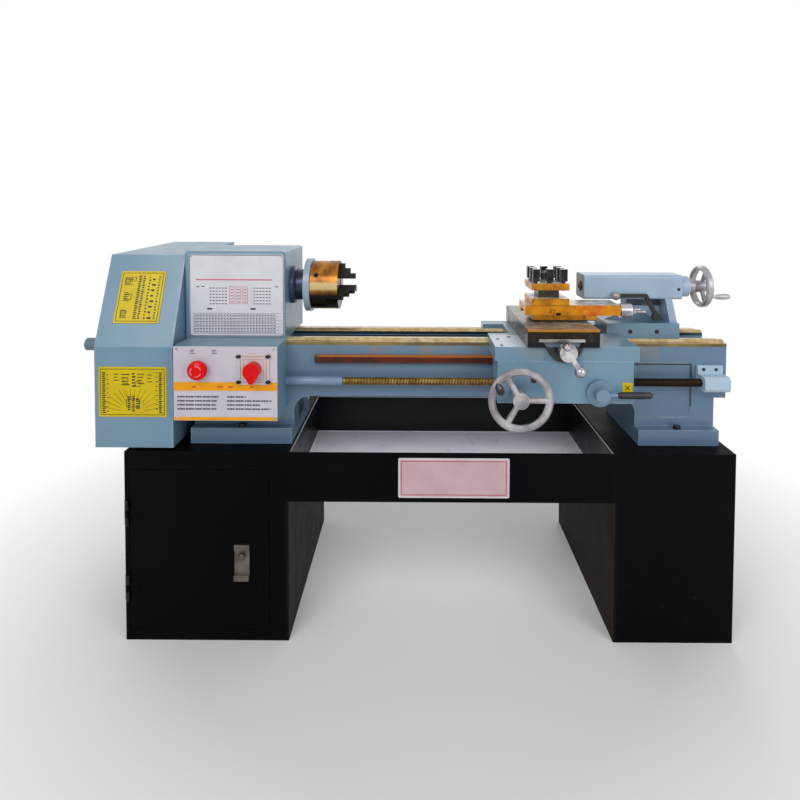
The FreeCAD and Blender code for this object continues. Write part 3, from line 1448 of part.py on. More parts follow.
def standing_gear(teeth, module, run, across, phase):
    """A toothed wheel on an axis along Y, seen from the front with its tooth at the angle phase."""
    tip, root = tooth_half_widths(module)
    tip_radius = module * teeth / 2 + ADDENDUM_SHARE * module
    root_radius = module * teeth / 2 - DEDENDUM_SHARE * module
    centre = (number_of(across[0]), number_of(across[1]))
    front, back = number_of(run[0]), number_of(run[1])
    corners = []
    for index in range(teeth):
        middle = phase + 2 * math.pi * index / teeth
        for radius, half in ((root_radius, -root), (tip_radius, -tip), (tip_radius, tip),
                             (root_radius, root)):
            angle = middle + half / radius
            corners.append(Vector(centre[0] + radius * math.cos(angle), front,
                                  centre[1] + radius * math.sin(angle)))
    return Part.Face(Part.makePolygon(corners + corners[:1])).extrude(Vector(0, back - front, 0))


def rim_and_spokes(axis, across, middle, radius, thick, wide, spoke_radius):
    """A hand wheel's rounded rim and three spokes that reach in to its hub."""
    half = wide / 2
    corner = thick * RIM_CORNER_SHARE
    rim = turned(axis, across, [
        (middle - half, radius - thick + corner), (middle - half, radius - corner),
        (middle - half + corner, radius), (middle + half - corner, radius), (middle + half, radius - corner),
        (middle + half, radius - thick + corner), (middle + half - corner, radius - thick),
        (middle - half + corner, radius - thick)])
    pieces = [rim]
    for angle in SPOKE_ANGLES:
        direction = math.radians(angle)
        spoke = doc.addObject("Part::Cylinder", "Spoke")
        aim = Vector(math.cos(direction), 0, math.sin(direction))
        if axis == "x":
            aim = Vector(0, math.cos(direction), math.sin(direction))
        spoke.Placement = Placement(Vector(), Rotation(AXIS_Z, aim))
        spoke.setExpression("Radius", text_of(spoke_radius))
        spoke.setExpression("Height", text_of(radius - thick / 2))
        pieces.append(put(spoke, *along(axis, middle, across)))
    return pieces


def grip_on(axis, across, start, length, radius):
    """A turned hand grip on a pin, from start along the axis; a negative length points back."""
    return turned(axis, across, shared(GRIP_SHARES, start, length, radius))


def make_half_nut():
    """The half nut under the lead screw and the lever that lifts it."""
    half = d.half_nut_long / 2
    open_z = screw_z - d.half_nut_travel
    groove_radius = d.screw_radius + d.running_gap
    block = box((nut_axis[0] - half, nut_axis[0] + half),
                (screw_y - d.half_nut_deep / 2, screw_y + d.half_nut_deep / 2 - d.overrun * 3),
                (open_z - groove_radius - d.half_nut_floor, open_z - d.running_gap))
    groove = rod("x", (screw_y, open_z),
                 (nut_axis[0] - half - d.overrun, nut_axis[0] + half + d.overrun), groove_radius)
    node("half_nut", cut(block, groove))
    front = saddle_front - d.running_gap
    disc = rod("y", nut_axis, (front - d.nut_disc_thick, front), d.nut_disc_radius)
    hub = rod("y", nut_axis, (front - d.nut_disc_thick - d.nut_hub_long, front - d.nut_disc_thick),
              d.nut_hub_radius)
    shaft = rod("y", nut_axis, (front - d.overrun, saddle_front + d.apron_wall * 3), d.nut_shaft)
    cam = rod("y", nut_axis, (saddle_front + d.apron_wall * 2, saddle_front + d.apron_wall * 3),
              d.nut_hub_radius)
    lever_axis = (front - d.nut_disc_thick - d.nut_hub_long / 2, nut_axis[1])
    end = nut_axis[0] + d.nut_lever_long
    arm = rod("x", lever_axis, (nut_axis[0], end - d.nut_grip_long / 2), d.nut_lever_radius)
    grip = turned("x", lever_axis, shared(LEVER_GRIP_SHARES, end, -d.nut_grip_long, d.nut_grip_radius))
    node("half_nut_lever", join(disc, hub, shaft, cam, arm, grip))


# Cross slide and compound

slide_left = saddle_left + d.slide_in
slide_right = slide_left + d.slide_long
slide_bottom = saddle_top + d.running_gap
slide_top = saddle_top + d.slide_tall
bridge_centre = saddle_left + d.bridge_in + d.bridge_long / 2
swivel_x = saddle_left + d.swivel_in
swivel_y = axis_y - d.swivel_front
rest_bottom = slide_top + d.running_gap + d.swivel_tall + d.compound_tall
rest_left = swivel_x - d.rest_left
rest_right = rest_left + d.rest_long
rest_top = rest_bottom + d.rest_tall
rest_screw_z = rest_bottom + d.rest_screw_up


def dovetail(plane, centre, low, half, tall, lean, grown, run):
    """A dovetail tongue, or with grown above zero the groove that it runs in."""
    side = half + grown * 2
    return prism(plane, [
        (centre - side + lean, low), (centre - side, low + tall + grown),
        (centre + side, low + tall + grown),
        (centre + side - lean, low)], run)


def make_cross_slide():
    """The cross slide on the saddle's dovetail, its screw, dial and ball crank."""
    front = axis_y - d.slide_front
    back = axis_y + d.slide_back
    block = box((slide_left, slide_right), (front, back), (slide_bottom, slide_top))
    groove = dovetail("xz", bridge_centre, saddle_top, d.dovetail_half, d.dovetail_tall, d.dovetail_lean,
                      d.running_gap, (front - d.overrun, back + d.overrun))
    screw_x = saddle_left + d.cross_in
    nut_back = axis_y + d.cross_nut_back
    wide = d.cross_channel - d.running_gap * 2
    nut = box((screw_x - wide, screw_x + wide), (nut_back - d.cross_nut_long, nut_back),
              (cross_z - d.cross_radius + d.running_gap, slide_bottom + d.dovetail_tall + d.overrun))
    hole = rod("y", (screw_x, cross_z), (nut_back - d.cross_nut_long - d.overrun, nut_back + d.overrun),
               d.cross_radius + d.fit_gap)
    node("cross_slide", join(cut(block, groove), cut(nut, hole)))
    start = saddle_front - d.cross_boss - d.cross_dial_long
    plate_front = saddle_front - d.cross_plate_thick - d.running_gap
    shank = turned("y", (screw_x, cross_z), [
        (start, 0), (start, d.cross_dial_radius), (start + d.cross_dial_long, d.cross_dial_radius),
        (start + d.cross_dial_long, d.cross_dial_radius * DIAL_BACK_SHARE),
        (plate_front, d.cross_dial_radius * DIAL_NECK_SHARE), (plate_front, d.cross_radius),
        (axis_y + d.saddle_back - d.head_wall * 2, d.cross_radius),
        (axis_y + d.saddle_back - d.head_wall * 2, 0)])
    crank_run = (start - d.crank_thick, start)
    bar = box((screw_x - d.crank_grip_reach, screw_x + d.crank_reach), crank_run,
              (cross_z - d.crank_wide / 2, cross_z + d.crank_wide / 2))
    weight = ball((screw_x + d.crank_reach, start - d.crank_thick / 2, cross_z), d.ball_radius)
    hub = rod("y", (screw_x, cross_z), (start - d.crank_thick * CRANK_HUB_SHARE, start), d.crank_wide)
    grip = grip_on("y", (screw_x - d.crank_grip_reach, cross_z), start - d.crank_thick + d.overrun,
                   -d.crank_grip_long, d.crank_grip_radius)
    crank = spin(join(bar, weight, hub, grip), "y", (screw_x, cross_z), -CRANK_ANGLE)
    node("cross_feed_crank", join(shank, crank))


def make_compound():
    """The swivelling compound base and the top slide on it, with its screw and crank."""
    low = slide_top + d.running_gap
    table = low + d.swivel_tall
    disc = rod("z", (swivel_x, swivel_y), (low, table), d.swivel_radius)
    left = swivel_x - d.compound_left
    right = left + d.compound_long
    block = box((left, right), (swivel_y - d.compound_wide / 2, swivel_y + d.compound_wide / 2),
                (table, rest_bottom))
    tongue = dovetail("yz", swivel_y, rest_bottom, d.rest_dovetail_half, d.rest_dovetail_tall,
                      d.dovetail_lean / 2, 0, (left, right - d.rest_tongue_in))
    channel = box((left - d.overrun, right + d.overrun),
                  (swivel_y - d.rest_screw_radius * REST_CHANNEL_SHARE,
                   swivel_y + d.rest_screw_radius * REST_CHANNEL_SHARE),
                  (rest_screw_z - d.rest_screw_radius * REST_DEPTH_SHARE,
                   rest_bottom + d.rest_dovetail_tall + d.overrun))
    node("compound_base", cut(join(disc, block, tongue), channel))
    body = box((rest_left, rest_right), (swivel_y - d.rest_wide / 2, swivel_y + d.rest_wide / 2),
               (rest_bottom + d.running_gap, rest_top))
    groove = dovetail("yz", swivel_y, rest_bottom, d.rest_dovetail_half, d.rest_dovetail_tall,
                      d.dovetail_lean / 2, d.running_gap, (rest_left - d.overrun, rest_right - d.rest_wall))
    bore = rod("x", (swivel_y, rest_screw_z), (right, rest_right + d.overrun),
               d.rest_screw_radius + d.fit_gap)
    node("top_slide", cut(body, groove, bore))
    axis = (swivel_y, rest_screw_z)
    dial = rest_right + d.running_gap
    end = dial + d.rest_dial_long
    screw = turned("x", axis, [
        (left + d.head_wall, 0), (left + d.head_wall, d.rest_screw_radius), (dial, d.rest_screw_radius),
        (dial, d.rest_dial_radius * REST_NECK_SHARE),
        (dial + d.rest_dial_long * REST_NECK_LONG_SHARE, d.rest_dial_radius * REST_NECK_SHARE),
        (dial + d.rest_dial_long * REST_NECK_LONG_SHARE, d.rest_dial_radius),
        (end, d.rest_dial_radius), (end, 0)])
    half = d.rest_crank_wide / 2
    reach = d.rest_crank_reach
    pieces = [box((end, end + d.rest_crank_wide), (swivel_y - reach, swivel_y + reach),
                  (rest_screw_z - half, rest_screw_z + half))]
    for side in (-1, 1):
        grip_axis = (swivel_y + reach * side, rest_screw_z)
        pieces.append(grip_on("x", grip_axis, end + d.rest_crank_wide - d.overrun, d.rest_grip_long,
                              d.rest_grip_radius))
    node("top_slide_crank", join(screw, *pieces))


def make_toolpost():
    """The four-way toolpost on its stud, with its clamp bolts and centre nut."""
    half = d.post_wide / 2
    core = d.post_core / 2
    low = rest_top + d.running_gap
    slot_low = low + d.post_slab
    slot_high = slot_low + d.post_slot
    top = slot_high + d.post_slab
    x, y = swivel_x, swivel_y
    slabs = [box((x - half, x + half), (y - half, y + half), span)
             for span in ((low, slot_low), (slot_high, top))]
    core_block = box((x - core, x + core), (y - core, y + core), (slot_low, slot_high))
    eye = rod("z", (x, y), (low - d.overrun, top + d.overrun), d.post_stud + d.running_gap)
    places = []
    edge = half - d.post_bolt_in
    for first in (-1, 1):
        for second in (-1, 1):
            places.append((x + edge * first, y + edge * second))
        places.append((x + edge * first, y))
        places.append((x, y + edge * first))
    holes = [rod("z", spot, (slot_high - d.overrun, top + d.overrun), d.post_bolt_radius + d.fit_gap)
             for spot in places]
    node("toolpost", cut(join(*slabs, core_block), eye, *holes))
    bolts = []
    side = d.post_bolt_head / 2
    for across, back in places:
        shank = rod("z", (across, back), (slot_high - d.overrun, top + d.post_bolt_up), d.post_bolt_radius)
        head = box((across - side, across + side), (back - side, back + side),
                   (top + d.post_bolt_neck, top + d.post_bolt_up))
        bolts.append(join(shank, head))
    node("tool_clamp_bolts", group(*bolts))
    nut_low = top + d.running_gap
    washer_top = nut_low + d.post_washer
    stud = rod("z", (x, y), (rest_top, washer_top + d.post_nut_tall), d.post_stud)
    washer = rod("z", (x, y), (nut_low, washer_top), d.post_nut)
    corners = []
    for index in range(6):
        angle = math.radians(60 * index)
        corners.append((x + d.post_nut * math.cos(angle), y + d.post_nut * math.sin(angle)))
    nut = prism("xy", corners, (washer_top, washer_top + d.post_nut_tall - d.post_washer))
    node("toolpost_nut", join(stud, washer, nut))


# Tailstock

barrel_left = tail_left - d.barrel_back
barrel_right = barrel_left + d.barrel_long
barrel_low = axis_z - d.barrel_below
tail_lever_x = tail_left + d.tail_lever_along


def make_tailstock():
    """The tailstock base and body, its quill, screw and hand wheel, and both clamps."""
    low = bed_top + d.running_gap
    high = bed_top + d.tail_base_tall
    front = axis_y - d.tail_base_wide / 2
    back = axis_y + d.tail_base_wide / 2
    base = box((tail_left, tail_right), (front, back), (low, high))
    grooves = ridge_grooves(tail_left - d.overrun, tail_right + d.overrun)
    shoulder_right = tail_right - d.tail_rib_thick - d.tail_base_rise
    shoulder = prism("xz", [
        (tail_left + d.tail_base_rise, high), (tail_left + d.tail_web_in, high + d.tail_base_rise * 2),
        (shoulder_right, high + d.tail_base_rise * 2), (shoulder_right, high)],
        (axis_y + d.tail_web_front, back - d.overrun))
    node("tailstock_base", cut(join(base, shoulder), *grooves))
    web_low = high + d.tail_base_rise * 2
    barrel = box((barrel_left, barrel_right), (axis_y - d.barrel_wide / 2, axis_y + d.barrel_wide / 2),
                 (barrel_low, axis_z + d.barrel_above))
    barrel = soften(barrel, d.cover_round, runs_along(AXIS_X))
    web_left = tail_left + d.tail_web_in
    web_right = tail_right - d.tail_rib_thick - d.tail_base_rise
    web = box((web_left, web_right), (axis_y + d.tail_web_front, back - d.overrun),
              (web_low, barrel_low + d.cover_round * 2))
    rib_top = barrel_right - d.tail_rib_in
    rib = prism("xz", [
        (rib_top - d.tail_rib_thick, barrel_low + d.overrun), (tail_right - d.tail_rib_thick, high),
        (tail_right, high), (rib_top, barrel_low + d.overrun)],
        (axis_y - d.barrel_wide / 2, back - d.overrun))
    boss_end = barrel_right + d.tail_boss_long
    boss = rod("x", spindle_axis, (barrel_right, boss_end), d.tail_boss_radius)
    quill_end = barrel_left - d.quill_out + d.quill_long
    bore = rod("x", spindle_axis, (barrel_left - d.overrun, quill_end + d.head_wall),
               d.quill_radius + d.fit_gap)
    shaft_hole = rod("x", spindle_axis, (quill_end, boss_end + d.overrun),
                     d.tail_screw_radius + d.running_gap)
    pivot = rod("y", (tail_lever_x, tail_pivot_z),
                (axis_y - d.barrel_wide / 2, axis_y + d.tail_web_front), d.tail_lever_hub)
    node("tailstock_body", cut(join(barrel, web, rib, boss, pivot), bore, shaft_hole))
    start = barrel_left - d.quill_out
    screw_left = boss_end - d.tail_screw_long
    quill = rod("x", spindle_axis, (start, quill_end), d.quill_radius)
    taper = cone("x", spindle_axis, (start - d.fit_gap, start + d.taper_long), d.taper_radius, d.taper_end)
    nut = rod("x", spindle_axis, (screw_left - d.overrun * 2, quill_end + d.overrun),
              d.tail_screw_radius + d.fit_gap)
    node("quill", cut(quill, taper, nut))
    middle = boss_end + d.tail_wheel_out
    screw = rod("x", spindle_axis, (screw_left, middle), d.tail_screw_radius)
    hub = turned("x", spindle_axis, [
        (boss_end + d.running_gap, 0), (boss_end + d.running_gap, d.tail_hub * TAIL_COLLAR_SHARE),
        (boss_end + d.tail_boss_long * TAIL_COLLAR_LONG_SHARE, d.tail_hub * TAIL_COLLAR_SHARE),
        (boss_end + d.tail_boss_long * TAIL_COLLAR_LONG_SHARE, d.tail_hub),
        (middle + d.tail_rim_wide / 2, d.tail_hub), (middle + d.tail_rim_wide / 2, 0)])
    wheel = join(screw, hub, *rim_and_spokes(
        "x", spindle_axis, middle, d.tail_wheel_radius, d.tail_rim, d.tail_rim_wide, d.tail_spoke_radius))
    reach = d.tail_wheel_radius - d.tail_rim / 2
    handle_angle = math.radians(TAIL_HANDLE_ANGLE)
    handle_axis = (axis_y + reach * math.cos(handle_angle), axis_z + reach * math.sin(handle_angle))
    grip = grip_on("x", handle_axis, middle + d.tail_rim_wide / 2, d.tail_handle_long, d.tail_handle_radius)
    node("tailstock_handwheel", group(wheel, grip))
    make_tail_lever()
    bolt_x = (tail_left + tail_right) / 2
    plate_top = bed_top - d.way_thick - d.running_gap
    half = d.clamp_wide / 2
    flat = d.bed_wide / 2 - d.way_wide
    drop = d.web_slope * (half - flat) / (d.bed_wide / 2 - d.web_thick - flat)
    under = plate_top - d.clamp_thick
    plate = prism("yz", [
        (axis_y - half, under), (axis_y - half, plate_top - drop), (axis_y - flat, plate_top),
        (axis_y + flat, plate_top), (axis_y + half, plate_top - drop), (axis_y + half, under)],
        (bolt_x - d.clamp_long / 2, bolt_x + d.clamp_long / 2))
    bolt = rod("z", (bolt_x, axis_y), (plate_top - d.clamp_thick - d.bolt_head_tall, low), d.clamp_bolt)
    head = rod("z", (bolt_x, axis_y),
               (plate_top - d.clamp_thick - d.bolt_head_tall, plate_top - d.clamp_thick),
               d.clamp_bolt * 2)
    node("tailstock_clamp", join(plate, bolt, head))


tail_pivot_z = bed_top + d.tail_lever_up


def make_tail_lever():
    """The clamp lever in front of the barrel: a pivot, a bent arm and a ball."""
    back = axis_y - d.barrel_wide / 2 - d.running_gap
    front = back - d.tail_lever_front
    hub = rod("y", (tail_lever_x, tail_pivot_z), (front - d.overrun, back), d.tail_lever_hub)
    knee = tail_lever_x - d.tail_base_tall * KNEE_SHARE
    low_half = d.tail_lever_radius
    raised = tail_pivot_z + d.tail_lever_lift
    tip = tail_lever_x - d.tail_lever_reach
    arm = prism("xz", [
        (tail_lever_x - low_half, tail_pivot_z), (tail_lever_x + low_half, tail_pivot_z + low_half),
        (knee + low_half, raised + low_half), (tip, raised + low_half), (tip, raised - low_half),
        (knee, raised - low_half)], (front, back))
    ball_y = back - d.tail_lever_ball - d.running_gap
    node("tailstock_lever", join(hub, arm, ball((tip, ball_y, raised), d.tail_lever_ball)))


# Build, check and write out

def make_all():
    """Makes every sub-part in turn."""
    make_stand()
    make_door()
    make_bed()
    make_rack_and_screw()
    make_chuck(make_headstock())
    make_guard()
    make_drive()
    make_control_box()
    make_saddle()
    make_apron()
    make_cross_slide()
    make_compound()
    make_toolpost()
    make_tailstock()


def check_all():
    """Stops if an object failed or a sub-part has no sound solid."""
    for made in doc.Objects:
        if "Invalid" in made.State or "Error" in made.State:
            raise RuntimeError(f"{made.Label} failed: {made.State}")
    for made in nodes:
        if made.Shape.isNull() or not made.Shape.isValid() or made.Shape.Volume <= 0:
            raise RuntimeError(f"{made.Label} has no sound solid")


make_all()
doc.recompute()
check_all()
os.makedirs("parts", exist_ok=True)
for made in nodes:
    made.Shape.exportStep(f"parts/{made.Label}.step")
    print(made.Label, len(made.Shape.Solids), round(made.Shape.Volume))
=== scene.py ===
import math

import bmesh
import bpy
from mathutils import Matrix, Vector


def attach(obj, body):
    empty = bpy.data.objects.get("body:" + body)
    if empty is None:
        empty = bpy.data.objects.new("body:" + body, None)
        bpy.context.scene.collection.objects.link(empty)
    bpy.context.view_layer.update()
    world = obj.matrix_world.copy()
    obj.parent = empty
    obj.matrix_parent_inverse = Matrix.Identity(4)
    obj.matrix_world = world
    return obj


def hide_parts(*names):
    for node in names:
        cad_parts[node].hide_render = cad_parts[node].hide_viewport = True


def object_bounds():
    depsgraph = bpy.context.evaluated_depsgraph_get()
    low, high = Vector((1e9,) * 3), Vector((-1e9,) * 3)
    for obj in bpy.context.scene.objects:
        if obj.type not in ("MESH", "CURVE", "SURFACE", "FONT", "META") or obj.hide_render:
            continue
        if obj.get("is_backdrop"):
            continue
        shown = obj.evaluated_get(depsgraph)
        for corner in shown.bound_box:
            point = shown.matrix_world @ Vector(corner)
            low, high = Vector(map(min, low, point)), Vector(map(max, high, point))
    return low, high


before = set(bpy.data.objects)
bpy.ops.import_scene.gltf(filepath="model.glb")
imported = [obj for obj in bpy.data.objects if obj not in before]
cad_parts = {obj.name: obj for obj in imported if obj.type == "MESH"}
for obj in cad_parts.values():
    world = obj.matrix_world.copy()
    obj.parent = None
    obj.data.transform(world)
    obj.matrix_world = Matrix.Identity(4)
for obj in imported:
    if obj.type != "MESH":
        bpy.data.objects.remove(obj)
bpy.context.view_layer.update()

MM = 0.001


def tone(red, green, blue):
    """A colour as it looks on a screen, each part from 0 to 255."""
    def level(part):
        part = part / 255
        return part / 12.92 if part <= 0.04045 else ((part + 0.055) / 1.055) ** 2.4
    return (level(red), level(green), level(blue), 1.0)


# Looks

class Look:
    """A procedural material: a Principled shader, and short names for the nodes that feed it."""

    def __init__(self, name):
        self.material = bpy.data.materials.new(name)
        self.material.use_nodes = True
        self.tree = self.material.node_tree
        self.shader = self.tree.nodes["Principled BSDF"]
        self.coordinates = self.tree.nodes.new("ShaderNodeTexCoord")
        self.place = self.coordinates.outputs["Object"]
        self.facing = self.coordinates.outputs["Normal"]

    def new(self, kind, inputs, **settings):
        made = self.tree.nodes.new("ShaderNode" + kind)
        for key, value in settings.items():
            setattr(made, key, value)
        for key, value in inputs.items():
            socket = made.inputs[key]
            if isinstance(value, bpy.types.NodeSocket):
                self.tree.links.new(value, socket)
            else:
                socket.default_value = value
        return made

    def parts(self, vector=None):
        """x, y and z of a vector, by default the place in metres."""
        made = self.new("SeparateXYZ", {0: self.place if vector is None else vector})
        return made.outputs[0], made.outputs[1], made.outputs[2]

    def calc(self, operation, first, second=0.0, third=0.0):
        made = self.new("Math", {0: first, 1: second, 2: third}, operation=operation)
        return made.outputs[0]

    def span(self, value, low, high, start=0.0, end=1.0):
        """value taken from low..high to start..end, held at the ends."""
        made = self.new("MapRange", {0: value, 1: low, 2: high, 3: start, 4: end}, clamp=True)
        return made.outputs[0]

    def noise(self, scale, detail=3.0, stretch=(1, 1, 1), rough=0.55):
        spread = self.new("Mapping", {0: self.place, 3: stretch})
        made = self.new("TexNoise", {"Vector": spread.outputs[0], "Scale": scale, "Detail": detail,
                                     "Roughness": rough})
        return made.outputs["Fac"]

    def patches(self, scale, low, high, detail=4.0, stretch=(1, 1, 1)):
        """Noise sharpened into patches, 0 below low and 1 above high."""
        return self.span(self.noise(scale, detail, stretch), low, high)

    def mix(self, share, first, second):
        made = self.new("Mix", {0: share, 6: first, 7: second}, data_type="RGBA")
        return made.outputs[2]

    def both(self, first, second):
        return self.calc("MULTIPLY", first, second)

    def either(self, first, second):
        return self.calc("MAXIMUM", first, second)

    def flip(self, value):
        return self.calc("SUBTRACT", 1.0, value)

    def inside(self, value, low, high, soft=0.0004):
        """1 between low and high, with soft ends."""
        rise = self.span(value, low - soft, low + soft)
        return self.both(rise, self.span(value, high + soft, high - soft))

    def box(self, low, high):
        """1 inside a box given in mm."""
        x, y, z = self.parts()
        here = self.both(self.inside(x, low[0] * MM, high[0] * MM),
                         self.inside(y, low[1] * MM, high[1] * MM))
        return self.both(here, self.inside(z, low[2] * MM, high[2] * MM))

    def repaint(self, colour, boxes):
        """The colour, changed inside boxes given as (low, high, tone)."""
        for low, high, changed in boxes:
            colour = self.mix(self.box(low, high), colour, tone(*changed))
        return colour

    def edges(self, radius, low=0.02, high=0.25):
        """1 where the surface turns sharply within radius: worn or wiped edges, and on the enamels also
        painted edge highlights.
        """
        rounded = self.new("Bevel", {"Radius": radius}, samples=6)
        here = self.new("NewGeometry", {})
        dot = self.new("VectorMath", {0: rounded.outputs[0], 1: here.outputs["Normal"]},
                       operation="DOT_PRODUCT")
        return self.span(self.flip(dot.outputs["Value"]), low, high)

    def finish(self, colour, rough, metal=0.0, height=None, depth=0.0003, coat=0.0, specular=0.5,
               soft=0.0012):
        """Links colour, roughness, metal and a bump to the shader; soft rounds the edges it shades."""
        shader = self.shader.inputs
        for key, value in (("Base Color", colour), ("Roughness", rough), ("Metallic", metal)):
            if isinstance(value, bpy.types.NodeSocket):
                self.tree.links.new(value, shader[key])
            else:
                shader[key].default_value = value
        shader["Coat Weight"].default_value = coat
        shader["Coat Roughness"].default_value = 0.12
        shader["Specular IOR Level"].default_value = specular
        normal = self.new("Bevel", {"Radius": soft}, samples=4).outputs[0] if soft else None
        if height is not None:
            inputs = {"Height": height, "Strength": 1.0, "Distance": depth}
            if normal is not None:
                inputs["Normal"] = normal
            normal = self.new("Bump", inputs).outputs[0]
        if normal is not None:
            self.tree.links.new(normal, shader["Normal"])
        return self.material


def machine_paint(name, base=(114, 148, 170), dark=(96, 128, 151), light=(174, 194, 210), oily=0.0,
                  boxes=()):
    """Light blue-grey enamel: cloudy tone, orange peel, pale edges that are partly wear and partly painted
    highlight, and a little grime.
    """
    look = Look(name)
    cloud = look.patches(2.6, 0.35, 0.68)
    colour = look.mix(look.both(cloud, 0.55), tone(*base), tone(*dark))
    streak = look.patches(7.0, 0.52, 0.75, 5.0, (1, 1, 0.25))
    colour = look.mix(look.both(streak, 0.22), colour, tone(86, 104, 112))
    if oily:
        film = look.both(look.patches(11.0, 0.46, 0.62), oily)
        colour = look.mix(film, colour, tone(150, 128, 84))
    # pale edges: partly wear, partly a painted highlight along the edges
    worn_and_highlit = look.both(look.edges(0.004), look.patches(30.0, 0.30, 0.55))
    colour = look.mix(look.both(worn_and_highlit, 0.75), colour, tone(*light))
    colour = look.repaint(colour, boxes)
    rough = look.span(look.noise(9.0), 0.3, 0.7, 0.28, 0.44)
    peel = look.noise(420.0, 2.0)
    return look.finish(colour, rough, height=peel, depth=0.00012, coat=0.15)


def stand_paint():
    look = Look("stand_black")
    x, y, z = look.parts()
    cloud = look.patches(3.0, 0.40, 0.70, 5.0, (1, 1, 0.4))
    colour = look.mix(cloud, tone(3, 3, 7), tone(7, 7, 12))
    scuff = look.both(look.patches(55.0, 0.66, 0.74), look.span(z, 0.25, 0.02))
    colour = look.mix(look.both(scuff, 0.35), colour, tone(70, 68, 70))
    inner = look.both(look.inside(x, -0.376, 0.492), look.span(z, 0.372, 0.370))
    inner = look.both(inner, look.flip(look.inside(x, -0.366, 0.482)))
    colour = look.mix(look.both(inner, 0.85), colour, tone(27, 15, 9))
    edge = look.both(look.edges(0.003), look.patches(40.0, 0.40, 0.60))
    colour = look.mix(look.both(edge, 0.35), colour, tone(44, 45, 54))
    rough = look.span(look.noise(14.0), 0.3, 0.7, 0.46, 0.56)
    return look.finish(colour, rough, height=look.noise(380.0, 2.0), depth=0.0001, specular=0.05,
                       soft=0.0016)


def pan_steel():
    """Near-white satin floor, partly its pale colour and partly painted glare, dark walls inside and a
    bright folded rim.
    """
    look = Look("chip_pan_sheet")
    x, y, z = look.parts()
    low = look.span(z, 0.380, 0.3785)
    cloud = look.patches(5.0, 0.38, 0.66, 5.0)
    # near-white floor: partly its pale colour, partly painted glare
    floor = look.mix(cloud, tone(248, 247, 255), tone(232, 230, 246))
    stain = look.patches(16.0, 0.60, 0.72, 6.0)
    floor = look.mix(look.both(stain, 0.25), floor, tone(206, 202, 218))
    wall = look.mix(cloud, tone(7, 7, 12), tone(18, 18, 26))
    colour = look.mix(low, wall, floor)
    rim = look.span(z, 0.4945, 0.4955)
    colour = look.mix(rim, colour, tone(222, 226, 234))
    rough = look.span(look.noise(12.0), 0.3, 0.7, 0.26, 0.42)
    return look.finish(colour, rough, height=look.noise(260.0, 2.0), depth=0.00012, specular=0.3,
                       soft=0.0008)


def steel(name, light=(196, 194, 190), dark=(140, 137, 132), rough=0.28, axis="x", oil=0.0,
          oil_tone=(150, 104, 44), metal=0.9):
    """Turned or ground steel: fine tool lines round an axis, cloudy sheen and a film of oil."""
    look = Look(name)
    stretch = {"x": (1, 0.04, 0.04), "y": (0.04, 1, 0.04), "z": (0.04, 0.04, 1)}[axis]
    lines = look.noise(900.0, 2.0, stretch)
    cloud = look.patches(18.0, 0.35, 0.65)
    colour = look.mix(cloud, tone(*light), tone(*dark))
    colour = look.mix(look.both(look.span(lines, 0.45, 0.62), 0.25), colour, tone(*dark))
    if oil:
        film = look.both(look.patches(24.0, 0.42, 0.60, 5.0), oil)
        colour = look.mix(film, colour, tone(*oil_tone))
    spread = look.span(look.noise(30.0), 0.3, 0.7, rough - 0.07, rough + 0.12)
    return look.finish(colour, spread, metal, height=lines, depth=0.00006, soft=0.0006)


def cast_grey(name, base=(184, 180, 185), dark=(126, 120, 127)):
    """Polished pale wheel metal, slightly pink, darker where it isn't polished."""
    look = Look(name)
    cloud = look.patches(22.0, 0.38, 0.66)
    colour = look.mix(cloud, tone(*base), tone(*dark))
    edge = look.edges(0.003)
    colour = look.mix(look.both(edge, 0.6), colour, tone(240, 240, 242))
    rough = look.span(look.noise(40.0), 0.3, 0.7, 0.26, 0.42)
    return look, colour, rough


def wheel_metal(name, grips=(), painted=None):
    """Wheel metal; grips, given as boxes in mm, are glossy black, and one more box is enamelled."""
    look, colour, rough = cast_grey(name)
    metal = 0.4
    for low, high in grips:
        black = look.box(low, high)
        colour = look.mix(black, colour, tone(13, 12, 14))
        metal = look.both(look.flip(black), metal)
    if painted:
        enamel = look.box(*painted)
        colour = look.mix(enamel, colour, tone(112, 140, 162))
        metal = look.both(look.flip(enamel), metal)
    return look.finish(colour, rough, metal, height=look.noise(160.0, 2.0), depth=0.00008, soft=0.001)


